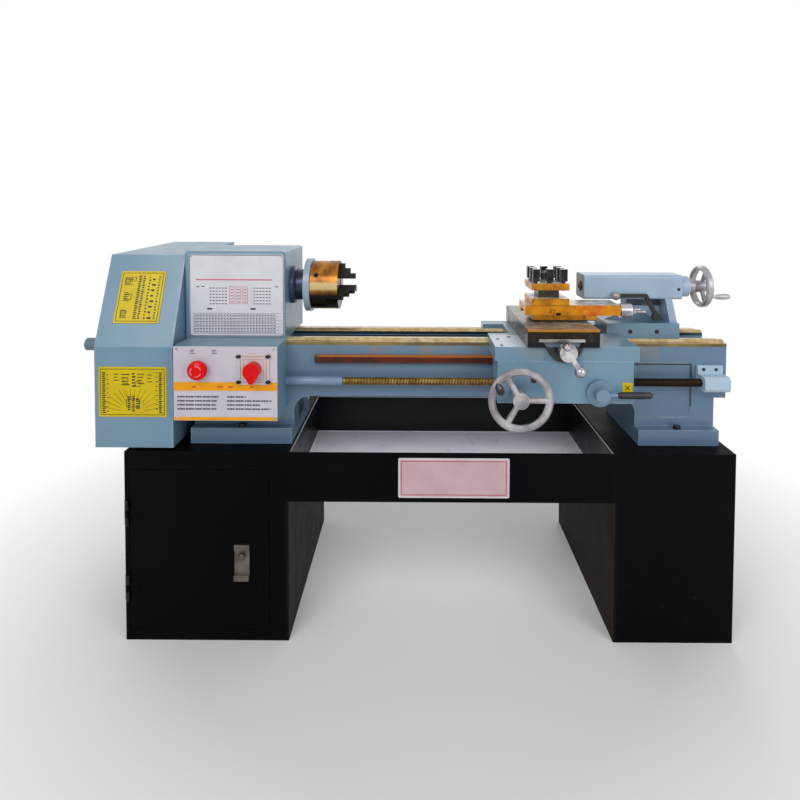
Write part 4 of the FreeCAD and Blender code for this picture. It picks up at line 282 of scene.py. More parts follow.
def bed_iron():
    """The bed: enamel below, scraped ways with amber oil above, painted shade in the slot between the ways
    and in recess lines on the front, and oily edges.
    """
    look = Look("bed_enamel_and_ways")
    x, y, z = look.parts()
    cloud = look.patches(2.6, 0.35, 0.68)
    colour = look.mix(look.both(cloud, 0.55), tone(102, 131, 156), tone(86, 113, 138))
    shade = look.span(z, 0.700, 0.640)
    colour = look.mix(look.both(shade, 0.3), colour, tone(80, 108, 140))
    drip = look.both(look.patches(16.0, 0.50, 0.62, 4.0, (1, 1, 0.2)), look.span(z, 0.70, 0.752))
    colour = look.mix(look.both(drip, 0.35), colour, tone(150, 120, 70))
    # pale edges: partly wear, partly a painted highlight
    worn_and_highlit = look.both(look.edges(0.004), look.patches(30.0, 0.30, 0.55))
    colour = look.mix(look.both(worn_and_highlit, 0.7), colour, tone(176, 194, 206))
    scraped = look.patches(60.0, 0.38, 0.62, 2.0)
    way = look.mix(scraped, tone(206, 190, 154), tone(170, 146, 104))
    amber = look.patches(7.0, 0.40, 0.58, 5.0, (1, 4, 4))
    way = look.mix(look.both(amber, 0.45), way, tone(196, 150, 70))
    # painted shade on the walls and floor of the slot between the ways
    slot_shade = look.both(look.inside(y, -0.1405, -0.0695), look.span(z, 0.7748, 0.7744))
    way = look.mix(slot_shade, way, tone(38, 60, 72))
    ground = look.span(z, 0.7655, 0.7665)
    colour = look.mix(ground, colour, way)
    # painted shade: the slot inside the bed, and dark lines round the recess on the front
    colour = look.repaint(colour, (
        ((-400, -141, 540), (560, -69, 764), (34, 54, 66)),
        ((545, -206, 713.5), (719, -190, 717.5), (34, 50, 64)),
        ((715, -206, 600), (719, -190, 717), (34, 50, 64))))
    front = look.inside(z, 0.7655, 0.7745, 0.0006)
    rim = look.mix(look.patches(9.0, 0.36, 0.62, 4.0, (1, 2, 2)), tone(132, 112, 52), tone(70, 54, 26))
    colour = look.mix(look.both(look.both(front, look.span(y, -0.2040, -0.2046)), 0.9), colour, rim)
    rough = look.mix(ground, (0.36, 0.36, 0.36, 1), (0.22, 0.22, 0.22, 1))
    metal = look.span(ground, 0.0, 1.0, 0.0, 0.45)
    return look.finish(colour, rough, metal, height=look.noise(320.0, 2.0), depth=0.00012, coat=0.15)


def greased(name, front=(222, 148, 8), deep=(190, 114, 6), top=(214, 212, 206), red=None, top_low=0.6,
            boxes=()):
    """Ground iron under preserving grease: amber on upright faces, lighter on upward faces."""
    look = Look(name)
    x, y, z = look.parts()
    facing_up = look.parts(look.facing)[2]
    cloud = look.patches(26.0, 0.36, 0.64, 5.0)
    amber = look.mix(cloud, tone(*front), tone(*deep))
    blot = look.patches(60.0, 0.60, 0.70, 3.0)
    amber = look.mix(look.both(blot, 0.6), amber, tone(74, 44, 14))
    if red:
        low, high = red
        hot = look.both(look.inside(x, low * MM, high * MM, 0.02), look.patches(30.0, 0.36, 0.54))
        amber = look.mix(look.both(hot, 0.9), amber, tone(206, 84, 16))
    upward_tone = look.mix(look.patches(34.0, 0.42, 0.66), tone(*top), tone(176, 164, 138))
    up = look.span(facing_up, top_low, top_low + 0.2)
    colour = look.repaint(look.mix(up, amber, upward_tone), boxes)
    rough = look.span(look.noise(30.0), 0.3, 0.7, 0.16, 0.36)
    return look.finish(colour, rough, 0.25, height=look.noise(120.0, 4.0), depth=0.0002, coat=0.05,
                       specular=0.25)


def black_steel(name, bright_top=None):
    """Blackened steel; above bright_top, in mm, upward faces are wiped bright."""
    look = Look(name)
    x, y, z = look.parts()
    facing_up = look.parts(look.facing)[2]
    cloud = look.patches(50.0, 0.40, 0.66)
    colour = look.mix(cloud, tone(22, 22, 25), tone(44, 44, 48))
    edge = look.edges(0.002)
    colour = look.mix(look.both(edge, 0.55), colour, tone(120, 120, 122))
    if bright_top is not None:
        up = look.both(look.span(facing_up, 0.7, 0.9),
                       look.span(z, (bright_top - 1) * MM, bright_top * MM))
        colour = look.mix(up, colour, tone(200, 200, 200))
    rough = look.span(look.noise(60.0), 0.3, 0.7, 0.26, 0.42)
    return look.finish(colour, rough, 0.7, height=look.noise(300.0, 2.0), depth=0.0001, soft=0.0008)


def plastic(name, base, dark, rough=0.22, grain=600.0):
    look = Look(name)
    cloud = look.patches(30.0, 0.40, 0.70)
    colour = look.mix(cloud, tone(*base), tone(*dark))
    spread = look.span(look.noise(50.0), 0.3, 0.7, rough, rough + 0.1)
    return look.finish(colour, spread, height=look.noise(grain, 2.0), depth=0.00005, specular=0.16,
                       soft=0.001)


def printed(name, base, dark, rough=0.32, metal=0.0):
    """A printed or enamelled plate with a little fading and grime."""
    look = Look(name)
    cloud = look.patches(14.0, 0.36, 0.68, 5.0)
    colour = look.mix(look.both(cloud, 0.7), tone(*base), tone(*dark))
    speck = look.patches(240.0, 0.70, 0.76, 2.0)
    colour = look.mix(look.both(speck, 0.35), colour, tone(*[part * 0.6 for part in dark]))
    spread = look.span(look.noise(36.0), 0.3, 0.7, rough, rough + 0.12)
    return look.finish(colour, spread, metal, height=look.noise(300.0, 2.0), depth=0.00006,
                       specular=0.3, soft=0.0004)


def dial_look(name, axis, centre, low, high, marks, base=(214, 210, 214)):
    """A dial whose band between low and high, in mm along the axis, carries fine marks round it."""
    look, colour, rough = cast_grey(name, base)
    x, y, z = look.parts()
    run, first, second = {"x": (x, y, z), "y": (y, x, z)}[axis]
    angle = look.calc("ARCTAN2", look.calc("SUBTRACT", second, centre[1] * MM),
                      look.calc("SUBTRACT", first, centre[0] * MM))
    turn = look.calc("FRACT", look.calc("MULTIPLY", angle, marks / (2 * math.pi)))
    line = look.both(look.inside(turn, 0.40, 0.62, 0.04), look.inside(run, low * MM, high * MM))
    colour = look.mix(look.both(line, 0.85), colour, tone(40, 38, 42))
    return look, colour


paint = machine_paint("machine_enamel")
paint_pale = machine_paint("machine_enamel_pale", (178, 204, 222), (160, 186, 206), (222, 232, 240))
# The saddle: a near-black box on the front behind the cross-feed dial, and a painted highlight on the top
# of the left wing.
saddle_paint = machine_paint("saddle_enamel", oily=0.2, boxes=(
    ((288, -333, 750), (386, -320.3, 793), (12, 12, 14)),
    ((160, -321, 791.4), (243, -190, 793), (186, 198, 212))))
# Tailstock boxes: a dark barrel end, and painted shade in navy on the web under the barrel.
barrel_paint = machine_paint("tailstock_enamel", (162, 186, 210), (144, 168, 192), (232, 240, 246), boxes=(
    ((430, -150, 880), (438.6, -60, 955), (38, 28, 22)),
    ((500, -99, 860), (705, -50, 887.6), (44, 62, 82))))
paint_deep = machine_paint("machine_enamel_deep", (96, 122, 138), (74, 100, 116))
paint_navy = machine_paint("machine_enamel_navy", (40, 54, 88), (28, 38, 64), (84, 100, 132))
black_sheet = stand_paint()
bright = steel("turned_steel")
bright_y = steel("turned_steel_y", axis="y")
bright_z = steel("turned_steel_z", axis="z")
latch_steel = steel("latch_steel", (132, 128, 122), (92, 88, 82), 0.34, "y", 0.3, (84, 70, 50))
worn_dark = steel("oil_dark_steel", (74, 70, 66), (36, 33, 31), 0.34, "x", 0.3, (90, 60, 30), 0.75)
dark_nose = steel("spindle_nose_dark", (60, 66, 88), (26, 29, 42), 0.3, "x", metal=0.7)
jaw_steel = steel("jaw_oil_black", (16, 14, 18), (7, 6, 8), 0.42, "x", 0.2, (34, 22, 12), 0.3)
aluminium = steel("turned_aluminium", (206, 206, 206), (168, 168, 168), 0.30, "x", metal=0.85)
bronze = steel("turned_bronze", (196, 148, 74), (150, 104, 44), 0.28, "x", metal=0.9)
black_bolt = black_steel("black_bolts")
rubber = plastic("belt_rubber_look", (22, 22, 23), (34, 34, 35), 0.55)
red_gloss = plastic("red_gloss", (226, 4, 12), (204, 2, 8), 0.16)
yellow_print = printed("yellow_plate_print", (216, 192, 2), (196, 168, 2))
white_print = printed("white_plate_print", (220, 220, 226), (202, 202, 210), 0.3)
lilac_print = printed("lilac_panel_print", (204, 198, 208), (190, 183, 196), 0.3)
orange_print = printed("orange_band_print", (240, 164, 2), (222, 144, 2), 0.3)
pink_print = printed("sign_ground_print", (206, 176, 182), (188, 156, 164), 0.3)
crimson_print = printed("sign_border_print", (196, 30, 52), (170, 20, 40), 0.3)
ink = printed("black_ink_print", (44, 40, 36), (60, 54, 46), 0.4)
grey_ink = printed("grey_ink_print", (74, 74, 84), (100, 100, 110), 0.4)
pale_ink = printed("pale_ink_print", (100, 96, 108), (124, 120, 132), 0.4)
gold_ink = printed("gold_ink_print", (196, 150, 60), (170, 126, 44), 0.35)


def chuck_grease():
    """The chuck under brown preserving grease, with a painted highlight belt round it and painted shade
    underneath.
    """
    look = Look("chuck_grease")
    x, y, z = look.parts()
    cloud = look.patches(14.0, 0.36, 0.64, 3.0, (1.6, 1, 1))
    colour = look.mix(cloud, tone(186, 122, 22), tone(116, 66, 12))
    # painted highlight: a bright belt round the chuck
    highlight_belt = look.inside(z, 0.912, 0.932, 0.004)
    colour = look.mix(look.both(highlight_belt, 0.85), colour, tone(212, 189, 133))
    # painted shade: near-black on the lower part of the chuck
    underside_shade = look.span(z, 0.910, 0.896)
    colour = look.mix(underside_shade, colour, tone(9, 3, 1))
    end = look.span(x, -0.2582, -0.2576)
    colour = look.mix(look.both(end, 0.9), colour, tone(26, 22, 26))
    lines = look.noise(700.0, 2.0, (1, 0.04, 0.04))
    rough = look.span(look.noise(30.0), 0.3, 0.7, 0.18, 0.34)
    return look.finish(colour, rough, 0.45, height=lines, depth=0.00006, specular=0.3, soft=0.001)


def rack_look():
    """The rack under dark red grease, with a painted highlight along its oiled top and painted shade along
    its lower edge.
    """
    look = Look("rack_grease")
    x, y, z = look.parts()
    cloud = look.patches(12.0, 0.36, 0.64, 4.0, (1, 1, 3))
    colour = look.mix(cloud, tone(98, 24, 2), tone(62, 14, 2))
    blot = look.patches(18.0, 0.62, 0.70, 3.0)
    colour = look.mix(look.both(blot, 0.8), colour, tone(36, 16, 8))
    # painted highlight along the oiled top
    colour = look.mix(look.span(z, 0.7362, 0.7378), colour, tone(176, 104, 26))
    # painted shade along the lower edge
    colour = look.mix(look.span(z, 0.7228, 0.7208), colour, tone(44, 18, 10))
    colour = look.mix(look.both(look.span(x, -0.300, -0.309), 0.8), colour, tone(60, 48, 24))
    return look.finish(colour, 0.4, 0.1, height=look.noise(90.0, 4.0), depth=0.0002, specular=0.3)


def screw_look():
    """The lead screw: an enamelled sleeve on the left, then crests of oiled gold, partly a painted
    highlight, over black valleys.
    """
    look = Look("lead_screw_oiled")
    x, y, z = look.parts()
    radius = look.calc("SQRT", look.calc("ADD", look.calc("POWER", look.calc("ADD", y, 0.232), 2.0),
                                         look.calc("POWER", look.calc("SUBTRACT", z, 0.675), 2.0)))
    # the gold of the crests is partly a painted highlight
    crest_and_highlight = look.mix(look.patches(40.0, 0.40, 0.62), tone(226, 186, 110), tone(176, 136, 72))
    crest_and_highlight = look.mix(look.span(x, 0.30, 0.56), crest_and_highlight, tone(62, 46, 26))
    colour = look.mix(look.span(radius, 0.0098, 0.0108), tone(20, 15, 10), crest_and_highlight)
    sleeve = look.span(x, -0.2340, -0.2346)
    colour = look.mix(sleeve, colour, tone(112, 138, 164))
    metal = look.span(sleeve, 0.0, 1.0, 0.8, 0.0)
    return look.finish(colour, 0.3, metal, height=look.noise(300.0, 2.0), depth=0.00006, soft=0.0006)


wheel_grip = wheel_metal("apron_wheel_metal", [((141, -441, 690), (185, -380, 740))])
lever_grip = wheel_metal("half_nut_lever_metal", [((468, -360, 640), (560, -300, 690))],
                         ((390, -356, 636), (467.6, -300, 714)))
lever_arm = wheel_metal("tail_lever_metal", [((537, -170, 800), (660, -140, 910))])
tail_look = wheel_metal("tail_wheel_metal")
compound_look, base_colour = dial_look("compound_dial_metal", "x", (-195, 862.3), 524, 549, 50)
compound_dial = compound_look.finish(base_colour, 0.2, 0.85, height=compound_look.noise(200.0, 2.0),
                                     depth=0.00006)
cross_look, base_colour = dial_look("cross_dial_metal", "y", (337, 788), -372, -352, 50)
cross_dial = cross_look.finish(base_colour, 0.2, 0.85, height=cross_look.noise(200.0, 2.0), depth=0.00006)

lead_look = screw_look()
LOOKS = {
    "left_cabinet": black_sheet, "right_cabinet": black_sheet, "stand_rails": black_sheet,
    "cabinet_door": black_sheet, "door_hinges": black_steel("hinge_steel"), "chip_pan": pan_steel(),
    "door_latch": latch_steel, "latch_key": latch_steel,
    "bed": bed_iron(), "bed_bolts": black_bolt, "rack": rack_look(), "leadscrew": lead_look,
    "leadscrew_bracket": paint_pale, "headstock_casing": paint, "headstock_cover": paint,
    "bearing_cap": paint_navy, "spindle_bearings": bright, "spindle": dark_nose,
    "chuck_backplate": machine_paint("backplate_enamel", (146, 166, 186), (128, 148, 168)),
    "chuck_body": chuck_grease(), "chuck_scroll": bright,
    "chuck_pinion": jaw_steel, "chuck_jaw_1": jaw_steel, "chuck_jaw_2": jaw_steel, "chuck_jaw_3": jaw_steel,
    "end_guard": paint, "guard_knob": paint_deep, "guard_backplate": paint,
    "spindle_gear": worn_dark, "idler_gear": worn_dark, "leadscrew_gear": worn_dark,
    "gear_quadrant": paint_deep, "spindle_pulley": aluminium, "motor_pulley": aluminium,
    "drive_belt": rubber, "motor": paint_deep, "control_box": paint, "control_panel": lilac_print,
    "stop_button": red_gloss, "switch_knob": red_gloss, "saddle": saddle_paint, "apron": paint,
    "rack_pinion": worn_dark, "apron_handwheel": wheel_grip, "half_nut": bronze,
    "half_nut_lever": lever_grip,
    # Cross slide: a gold band along the top of the front, and painted shade along the lower front under the
    # wiper plate.
    "cross_slide": greased("cross_slide_grease", (38, 27, 12), (22, 16, 8), (120, 118, 116), boxes=(
        ((240, -331, 832), (430, -329, 839), (176, 120, 30)),
        ((240, -331, 791), (430, -329, 805), (14, 12, 11)))),
    "cross_feed_crank": cross_dial,
    # painted shade on the compound base under the top slide
    "compound_base": greased("compound_grease", (204, 134, 14), (150, 92, 14), (176, 174, 168), boxes=(
        ((250, -300, 834), (520, -90, 844.5), (44, 36, 26)),)),
    "top_slide": greased("top_slide_grease", red=(400, 462), boxes=(
        ((336, -241, 855), (350, -239, 864), (40, 28, 12)),)),
    "top_slide_crank": compound_dial,
    # painted shade on the toolpost core in the tool slot between the slabs
    "toolpost": greased("toolpost_grease", (214, 142, 12), (164, 102, 12), (234, 234, 236), boxes=(
        ((286, -229, 902.8), (354, -161, 924.4), (60, 58, 42)),)),
    "tool_clamp_bolts": black_steel("clamp_bolt_steel", 980.4), "toolpost_nut": bright_z,
    "tailstock_base": paint, "tailstock_body": barrel_paint, "quill": worn_dark,
    "tailstock_handwheel": tail_look, "tailstock_lever": lever_arm,
    "tailstock_clamp": worn_dark,
}
for node, look in LOOKS.items():
    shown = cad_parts[node]
    if not shown.material_slots:
        shown.data.materials.append(look)
    for slot in shown.material_slots:
        slot.material = look


# Shapes

def ring(x0, x1, y0, y1, corner, steps=4):
    """The points of a rectangle with rounded corners, counter-clockwise."""
    points = []
    if corner <= 0:
        return [(x0, y0), (x1, y0), (x1, y1), (x0, y1)]
    for cx, cy, start in ((x1 - corner, y0 + corner, -90), (x1 - corner, y1 - corner, 0),
                          (x0 + corner, y1 - corner, 90), (x0 + corner, y0 + corner, 180)):
        for step in range(steps + 1):
            angle = math.radians(start + 90 * step / steps)
            points.append((cx + corner * math.cos(angle), cy + corner * math.sin(angle)))
    return points


def skin(bm, rings, close=True):
    """Joins rings of equal length with faces, and closes both ends."""
    rows = [[bm.verts.new(point) for point in row] for row in rings]
    for low, high in zip(rows, rows[1:]):
        for index in range(len(low)):
            after = (index + 1) % len(low)
            bm.faces.new((low[index], low[after], high[after], high[index]))
    if close:
        bm.faces.new(list(reversed(rows[0])))
        bm.faces.new(rows[-1])


def plate(bm, x0, x1, y0, y1, low, high, corner=0.0, edge=0.0):
    """A plate with rounded corners and an eased front edge, between two heights."""
    rings = [[(x, y, low) for x, y in ring(x0, x1, y0, y1, corner)]]
    if edge:
        rings.append([(x, y, high - edge) for x, y in ring(x0, x1, y0, y1, corner)])
        rings.append([(x, y, high) for x, y in ring(x0 + edge, x1 - edge, y0 + edge, y1 - edge,
                                                    max(corner - edge, 0.0))])
    else:
        rings.append([(x, y, high) for x, y in ring(x0, x1, y0, y1, corner)])
    skin(bm, rings)


def border(bm, x0, x1, y0, y1, wide, low, high, corner=0.0):
    """A line of the given width round a rectangle."""
    outer = ring(x0, x1, y0, y1, corner)
    inner = ring(x0 + wide, x1 - wide, y0 + wide, y1 - wide, max(corner - wide, corner * 0.3))
    rows = []
    for points, height in ((outer, low), (outer, high), (inner, high), (inner, low)):
        rows.append([bm.verts.new((x, y, height)) for x, y in points])
    count = len(outer)
    for row in range(4):
        first, second = rows[row], rows[(row + 1) % 4]
        for index in range(count):
            after = (index + 1) % count
            bm.faces.new((first[index], first[after], second[after], second[index]))


def lathe(bm, profile, matrix, steps=32):
    """A turned shape: (radius, height) points about the matrix's third axis."""
    rows = []
    for radius, height in profile:
        row = []
        for step in range(steps):
            angle = 2 * math.pi * step / steps
            point = Vector((radius * math.cos(angle), radius * math.sin(angle), height))
            row.append(bm.verts.new(matrix @ point))
        rows.append(row)
    for low, high in zip(rows, rows[1:]):
        for index in range(steps):
            after = (index + 1) % steps
            bm.faces.new((low[index], low[after], high[after], high[index]))
    bm.faces.new(list(reversed(rows[0])))
    bm.faces.new(rows[-1])


def face_matrix(origin, right, up):
    """Takes x to right, y to up and z to the outward normal, from an origin in mm."""
    right, up = Vector(right).normalized(), Vector(up).normalized()
    out = right.cross(up)
    place = Vector(origin) * MM
    return Matrix(((right.x, up.x, out.x, place.x), (right.y, up.y, out.y, place.y),
                   (right.z, up.z, out.z, place.z), (0, 0, 0, 1)))


def piece(name, bm, look, body, matrix=None, smooth=False):
    """Makes a scene piece from a mesh, and lets it ride on a body."""
    bmesh.ops.recalc_face_normals(bm, faces=bm.faces)
    mesh = bpy.data.meshes.new(name)
    bm.to_mesh(mesh)
    bm.free()
    made = bpy.data.objects.new(name, mesh)
    bpy.context.scene.collection.objects.link(made)
    if matrix is not None:
        made.matrix_world = matrix
    mesh.materials.append(look)
    if smooth:
        mesh.polygons.foreach_set("use_smooth", [True] * len(mesh.polygons))
        mesh.set_sharp_from_angle(angle=math.radians(40))
    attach(made, body)
    return made


def screw_heads(name, spots, body, matrix, radius=4.0, tall=2.4, look=None):
    """Domed screw heads with a socket, at spots in mm on a face."""
    bm = bmesh.new()
    for across, up in spots:
        here = Matrix.Translation((across * MM, up * MM, 0))
        r, t = radius * MM, tall * MM
        lathe(bm, [(r, 0), (r, t * 0.4), (r * 0.86, t * 0.8), (r * 0.6, t), (r * 0.42, t),
                   (r * 0.40, t * 0.45), (r * 0.05, t * 0.45)], here, 24)
    return piece(name, bm, look or black_bolt, body, matrix, True)


# Faces of the solids that the trim sits on, in mm: the y of a front, the z of a top

FRONT = ((1, 0, 0), (0, 0, 1))
RAIL_FRONT = -290
CASING_FRONT = -200
GUARD_FRONT = -280
PANEL_FRONT = -307
SWITCH_FRAME_FRONT = -311
STOP_FRONT = -336
APRON_FRONT = -320
SLIDE_FRONT = -330
TAIL_BASE_FRONT = -160
BARREL_FRONT = -145
BRACKET_FRONT = -215
SADDLE_TOP = 792

# Sign on the front rail

SIGN_WIDE, SIGN_TALL = 0.290, 0.105
bm = bmesh.new()
plate(bm, 0, SIGN_WIDE, 0, SIGN_TALL, 0, 0.0022, 0.004, 0.0006)
sign = face_matrix((-82, RAIL_FRONT, 386), *FRONT)
piece("sign_plate", bm, pink_print, "root", sign)
bm = bmesh.new()
border(bm, 0.0075, 0.2825, 0.0075, 0.0975, 0.0016, 0.0018, 0.0025, 0.003)
piece("sign_border", bm, crimson_print, "root", sign)
bm = bmesh.new()
border(bm, 0.0004, 0.2896, 0.0004, 0.1046, 0.0034, 0.0016, 0.0026, 0.004)
piece("sign_rim", bm, white_print, "root", sign)

# Table plate on the headstock

TABLE_WIDE, TABLE_TALL = 260, 226
table = face_matrix((-659, CASING_FRONT, 787), *FRONT)
bm = bmesh.new()
plate(bm, 0, TABLE_WIDE * MM, 0, TABLE_TALL * MM, 0, 0.0016, 0.008, 0.0004)
piece("table_plate", bm, white_print, "root", table)
bm = bmesh.new()
border(bm, 0.0012, (TABLE_WIDE - 1.2) * MM, 0.0012, (TABLE_TALL - 1.2) * MM, 0.0020, 0.0012, 0.0018, 0.007)
for row in range(7):
    low = 8 + row * 9.2
    plate(bm, 0.010, (TABLE_WIDE - 8) * MM, low * MM, (low + 0.9) * MM, 0.0012, 0.0018)
    if row < 6:
        for column in range(28):
            start = 14 + column * 8
            plate(bm, start * MM, (start + 5.0) * MM, (low + 3.2) * MM, (low + 6.2) * MM, 0.0012, 0.0018)
for column in range(27):
    start = 12 + column * 8.6
    plate(bm, start * MM, (start + 0.6) * MM, 0.008, 0.0632, 0.0012, 0.0018)
for group, count in ((56, 6), (176, 6)):
    for column in range(count):
        for row in range(6):
            start, low = group + column * 8.4, 89 + row * 8.6
            plate(bm, start * MM, (start + 5.4) * MM, low * MM, (low + 2.8) * MM, 0.0012, 0.0018)
for start in (20, 34, 236):
    plate(bm, start * MM, (start + 8) * MM, 0.136, 0.139, 0.0012, 0.0018)
piece("table_lines", bm, pale_ink, "root", table)
bm = bmesh.new()
plate(bm, 0.018, 0.228, 0.1548, 0.1578, 0.0012, 0.0020)
for start in (110, 128, 146):
    border(bm, start * MM, (start + 14) * MM, 0.090, 0.138, 0.0010, 0.0012, 0.0019)
    for row in range(5):
        low = 94 + row * 8.6
        plate(bm, (start + 3) * MM, (start + 11) * MM, low * MM, (low + 2.4) * MM, 0.0012, 0.0019)
piece("table_rule", bm, printed("pink_rule_print", (214, 96, 128), (196, 84, 116)), "root",
      table)
bm = bmesh.new()
for start in (49, 168):
    plate(bm, start * MM, (start + 14) * MM, 0.0742, 0.0786, 0.0012, 0.0021)
piece("table_marks", bm, ink, "root", table)
corners = [(5, 5), (TABLE_WIDE - 5, 5), (5, TABLE_TALL - 5), (TABLE_WIDE - 5, TABLE_TALL - 5)]
screw_heads("table_screws", corners, "root",
            table @ Matrix.Translation((0, 0, 0.0016)), 2.6, 1.4, bright_y)

# Plates on the end guard

def yellow_plate(name, matrix, wide, tall, columns, frames=(), rays=()):
    """A yellow plate with a black border, columns of plain ticks, small frames and a fan of thin lines."""
    bm = bmesh.new()
    plate(bm, 0, wide * MM, 0, tall * MM, 0, 0.0014, 0.003, 0.0004)
    piece(name + "_plate", bm, yellow_print, "guard", matrix)
    bm = bmesh.new()
    high = 0.0018
    border(bm, 0.0050, (wide - 5.0) * MM, 0.0050, (tall - 5.0) * MM, 0.0014, 0.001, high, 0.001)
    for across, up, long, thick, lines, step in columns:
        for line in range(lines):
            y = up + step * line
            share = (1.0, 0.7, 0.85)[line % 3]
            plate(bm, across * MM, (across + long * share) * MM, y * MM, (y + thick) * MM, 0.001, high)
    for x0, x1, y0, y1 in frames:
        border(bm, x0 * MM, x1 * MM, y0 * MM, y1 * MM, 0.0013, 0.001, high)
    for angle, start, end in rays:
        here = Matrix.Translation((wide / 2 * MM, 0.010, 0)) @ Matrix.Rotation(math.radians(angle), 4, "Z")
        skin(bm, [[here @ Vector((x, y, height)) for x, y in ring(start * MM, end * MM, -0.0004, 0.0004, 0)]
                  for height in (0.001, high)])
    piece(name + "_lines", bm, ink, "guard", matrix)


slope = Vector((0, 95, 231))
slope_up = slope.normalized()
upper_start = Vector((-840, GUARD_FRONT, 779)) + slope_up * 59
yellow_plate("guard_upper", face_matrix(upper_start, (1, 0, 0), slope_up), 121, 143, (
    (50, 12, 9, 3.0, 24, 5), (62, 12, 7, 3.4, 20, 6), (78, 12, 5, 4.0, 14, 8.6), (88, 12, 10, 5.0, 8, 15),
    (104, 12, 5, 3.4, 16, 7.5), (14, 14, 20, 1.6, 5, 5), (16, 60, 16, 1.6, 5, 5.5),
    (13, 104, 24, 1.6, 5, 5)),
    ((16, 30, 18, 34), (20, 38, 64, 80), (14, 28, 108, 122), (31, 43, 114, 126)))
yellow_plate("guard_lower", face_matrix((-867, GUARD_FRONT, 592), *FRONT), 178, 132, (
    (10, 10, 9, 3.0, 22, 5), (22, 14, 5, 2.4, 9, 12), (158, 10, 9, 3.0, 22, 5), (150, 20, 5, 2.4, 9, 12),
    (60, 84, 22, 2.4, 4, 9), (88, 80, 9, 4.0, 5, 8), (102, 88, 18, 2.2, 4, 8), (128, 92, 14, 2.0, 3, 9),
    (40, 96, 14, 2.0, 3, 8), (76, 18, 8, 3.4, 7, 5.5), (88, 14, 7, 3.4, 8, 5.5), (98, 22, 10, 3.0, 5, 6)),
    ((64, 78, 88, 104), (96, 110, 80, 94), (72, 108, 26, 46)),
    [(angle, 34, 62 + 16 * abs(math.cos(math.radians(angle)))) for angle in range(12, 180, 12)])

# Control panel

panel = face_matrix((-660, PANEL_FRONT, 593), *FRONT)
PANEL_WIDE = 267
bm = bmesh.new()
plate(bm, 0.001, (PANEL_WIDE - 1) * MM, 0.078, 0.1000, 0, 0.0006)
plate(bm, 0.001, (PANEL_WIDE - 1) * MM, 0.001, 0.0095, 0, 0.0006)
piece("panel_bands", bm, orange_print, "root", panel)
bm = bmesh.new()
rows = ((60, (10, 116), (138, 186)), (49.5, (10, 112), (138, 252)), (39, (10, 108), (138, 222)),
        (28.5, (10, 110), (138, 250)))
for low, *columns in rows:
    for start, end in columns:
        across = start
        step = 0
        while across < end:
            long = (5.2, 7.4, 4.2, 6.1)[step % 4]
            stop = min(across + long, end)
            plate(bm, across * MM, stop * MM, low * MM, (low + 4.0) * MM, 0, 0.0005)
            across += long + (1.2, 0.9, 2.6)[step % 3]
            step += 1
for start in (43, 99):
    for up, long in ((174, 14), (178, 9), (182, 12)):
        plate(bm, start * MM, (start + long) * MM, up * MM, (up + 1.5) * MM, 0, 0.0005)
piece("panel_lines", bm, grey_ink, "root", panel)
bm = bmesh.new()
for start, long in ((48, 10), (112, 16), (140, 14), (197, 10)):
    plate(bm, start * MM, (start + long) * MM, 0.0860, 0.0900, 0.0004, 0.0009, 0.0015)
piece("panel_marks", bm, printed("orange_mark_print", (200, 92, 20), (170, 74, 16)), "root",
      panel)
screw_heads("panel_screws", [(9, 186), (258, 186), (9, 6), (258, 6)], "root", panel, 3.0, 1.6, bright_y)
switch_face = face_matrix((-453, SWITCH_FRAME_FRONT, 728), *FRONT)
bm = bmesh.new()
border(bm, -0.034, 0.034, -0.034, 0.034, 0.0016, -0.0002, 0.0007, 0.003)
border(bm, -0.026, 0.026, -0.026, 0.026, 0.0009, -0.0002, 0.0006, 0.002)
piece("switch_frame_lines", bm, gold_ink, "root", switch_face)
bm = bmesh.new()
for across in (-1, 1):
    for up in (-1, 1):
        here = Matrix.Translation((across * 0.0375, up * 0.0330, 0)) @ Matrix.Diagonal((1.35, 0.85, 1, 1))
        lathe(bm, [(0.0052, 0.0), (0.0052, 0.003), (0.0044, 0.0042), (0.0022, 0.0046)], here, 24)
piece("switch_frame_screws", bm, black_bolt, "root", switch_face, True)

# Stop button arrows

stop_face = face_matrix((-592, STOP_FRONT, 728), *FRONT)
bm = bmesh.new()
for start in (20, 140, 260):
    rows = []
    for step in range(13):
        angle = math.radians(start + 80 * step / 12)
        row = []
        for radius, height in ((0.0125, -0.002), (0.0125, 0.0004), (0.0145, 0.0003), (0.0145, -0.002)):
            row.append((radius * math.cos(angle), radius * math.sin(angle), height))
        rows.append(row)
    skin(bm, rows)
piece("stop_ring_marks", bm, printed("button_mark_print", (240, 150, 150), (226, 120, 124)), "stop_button",
      stop_face)

# Yellow sticker on the apron

bm = bmesh.new()
plate(bm, 0, 0.025, 0, 0.026, 0, 0.0006, 0.001)
sticker = face_matrix((488, APRON_FRONT, 675), *FRONT)
piece("apron_sticker", bm, yellow_print, "carriage", sticker)
bm = bmesh.new()
for turn in (45, -45):
    here = Matrix.Translation((0.0125, 0.013, 0)) @ Matrix.Rotation(math.radians(turn), 4, "Z")
    skin(bm, [[here @ Vector((x, y, height)) for x, y in ring(-0.0075, 0.0075, -0.001, 0.001, 0)]
              for height in (0.0004, 0.0009)])
piece("apron_sticker_lines", bm, ink, "carriage", sticker)

# Small screws and plugs

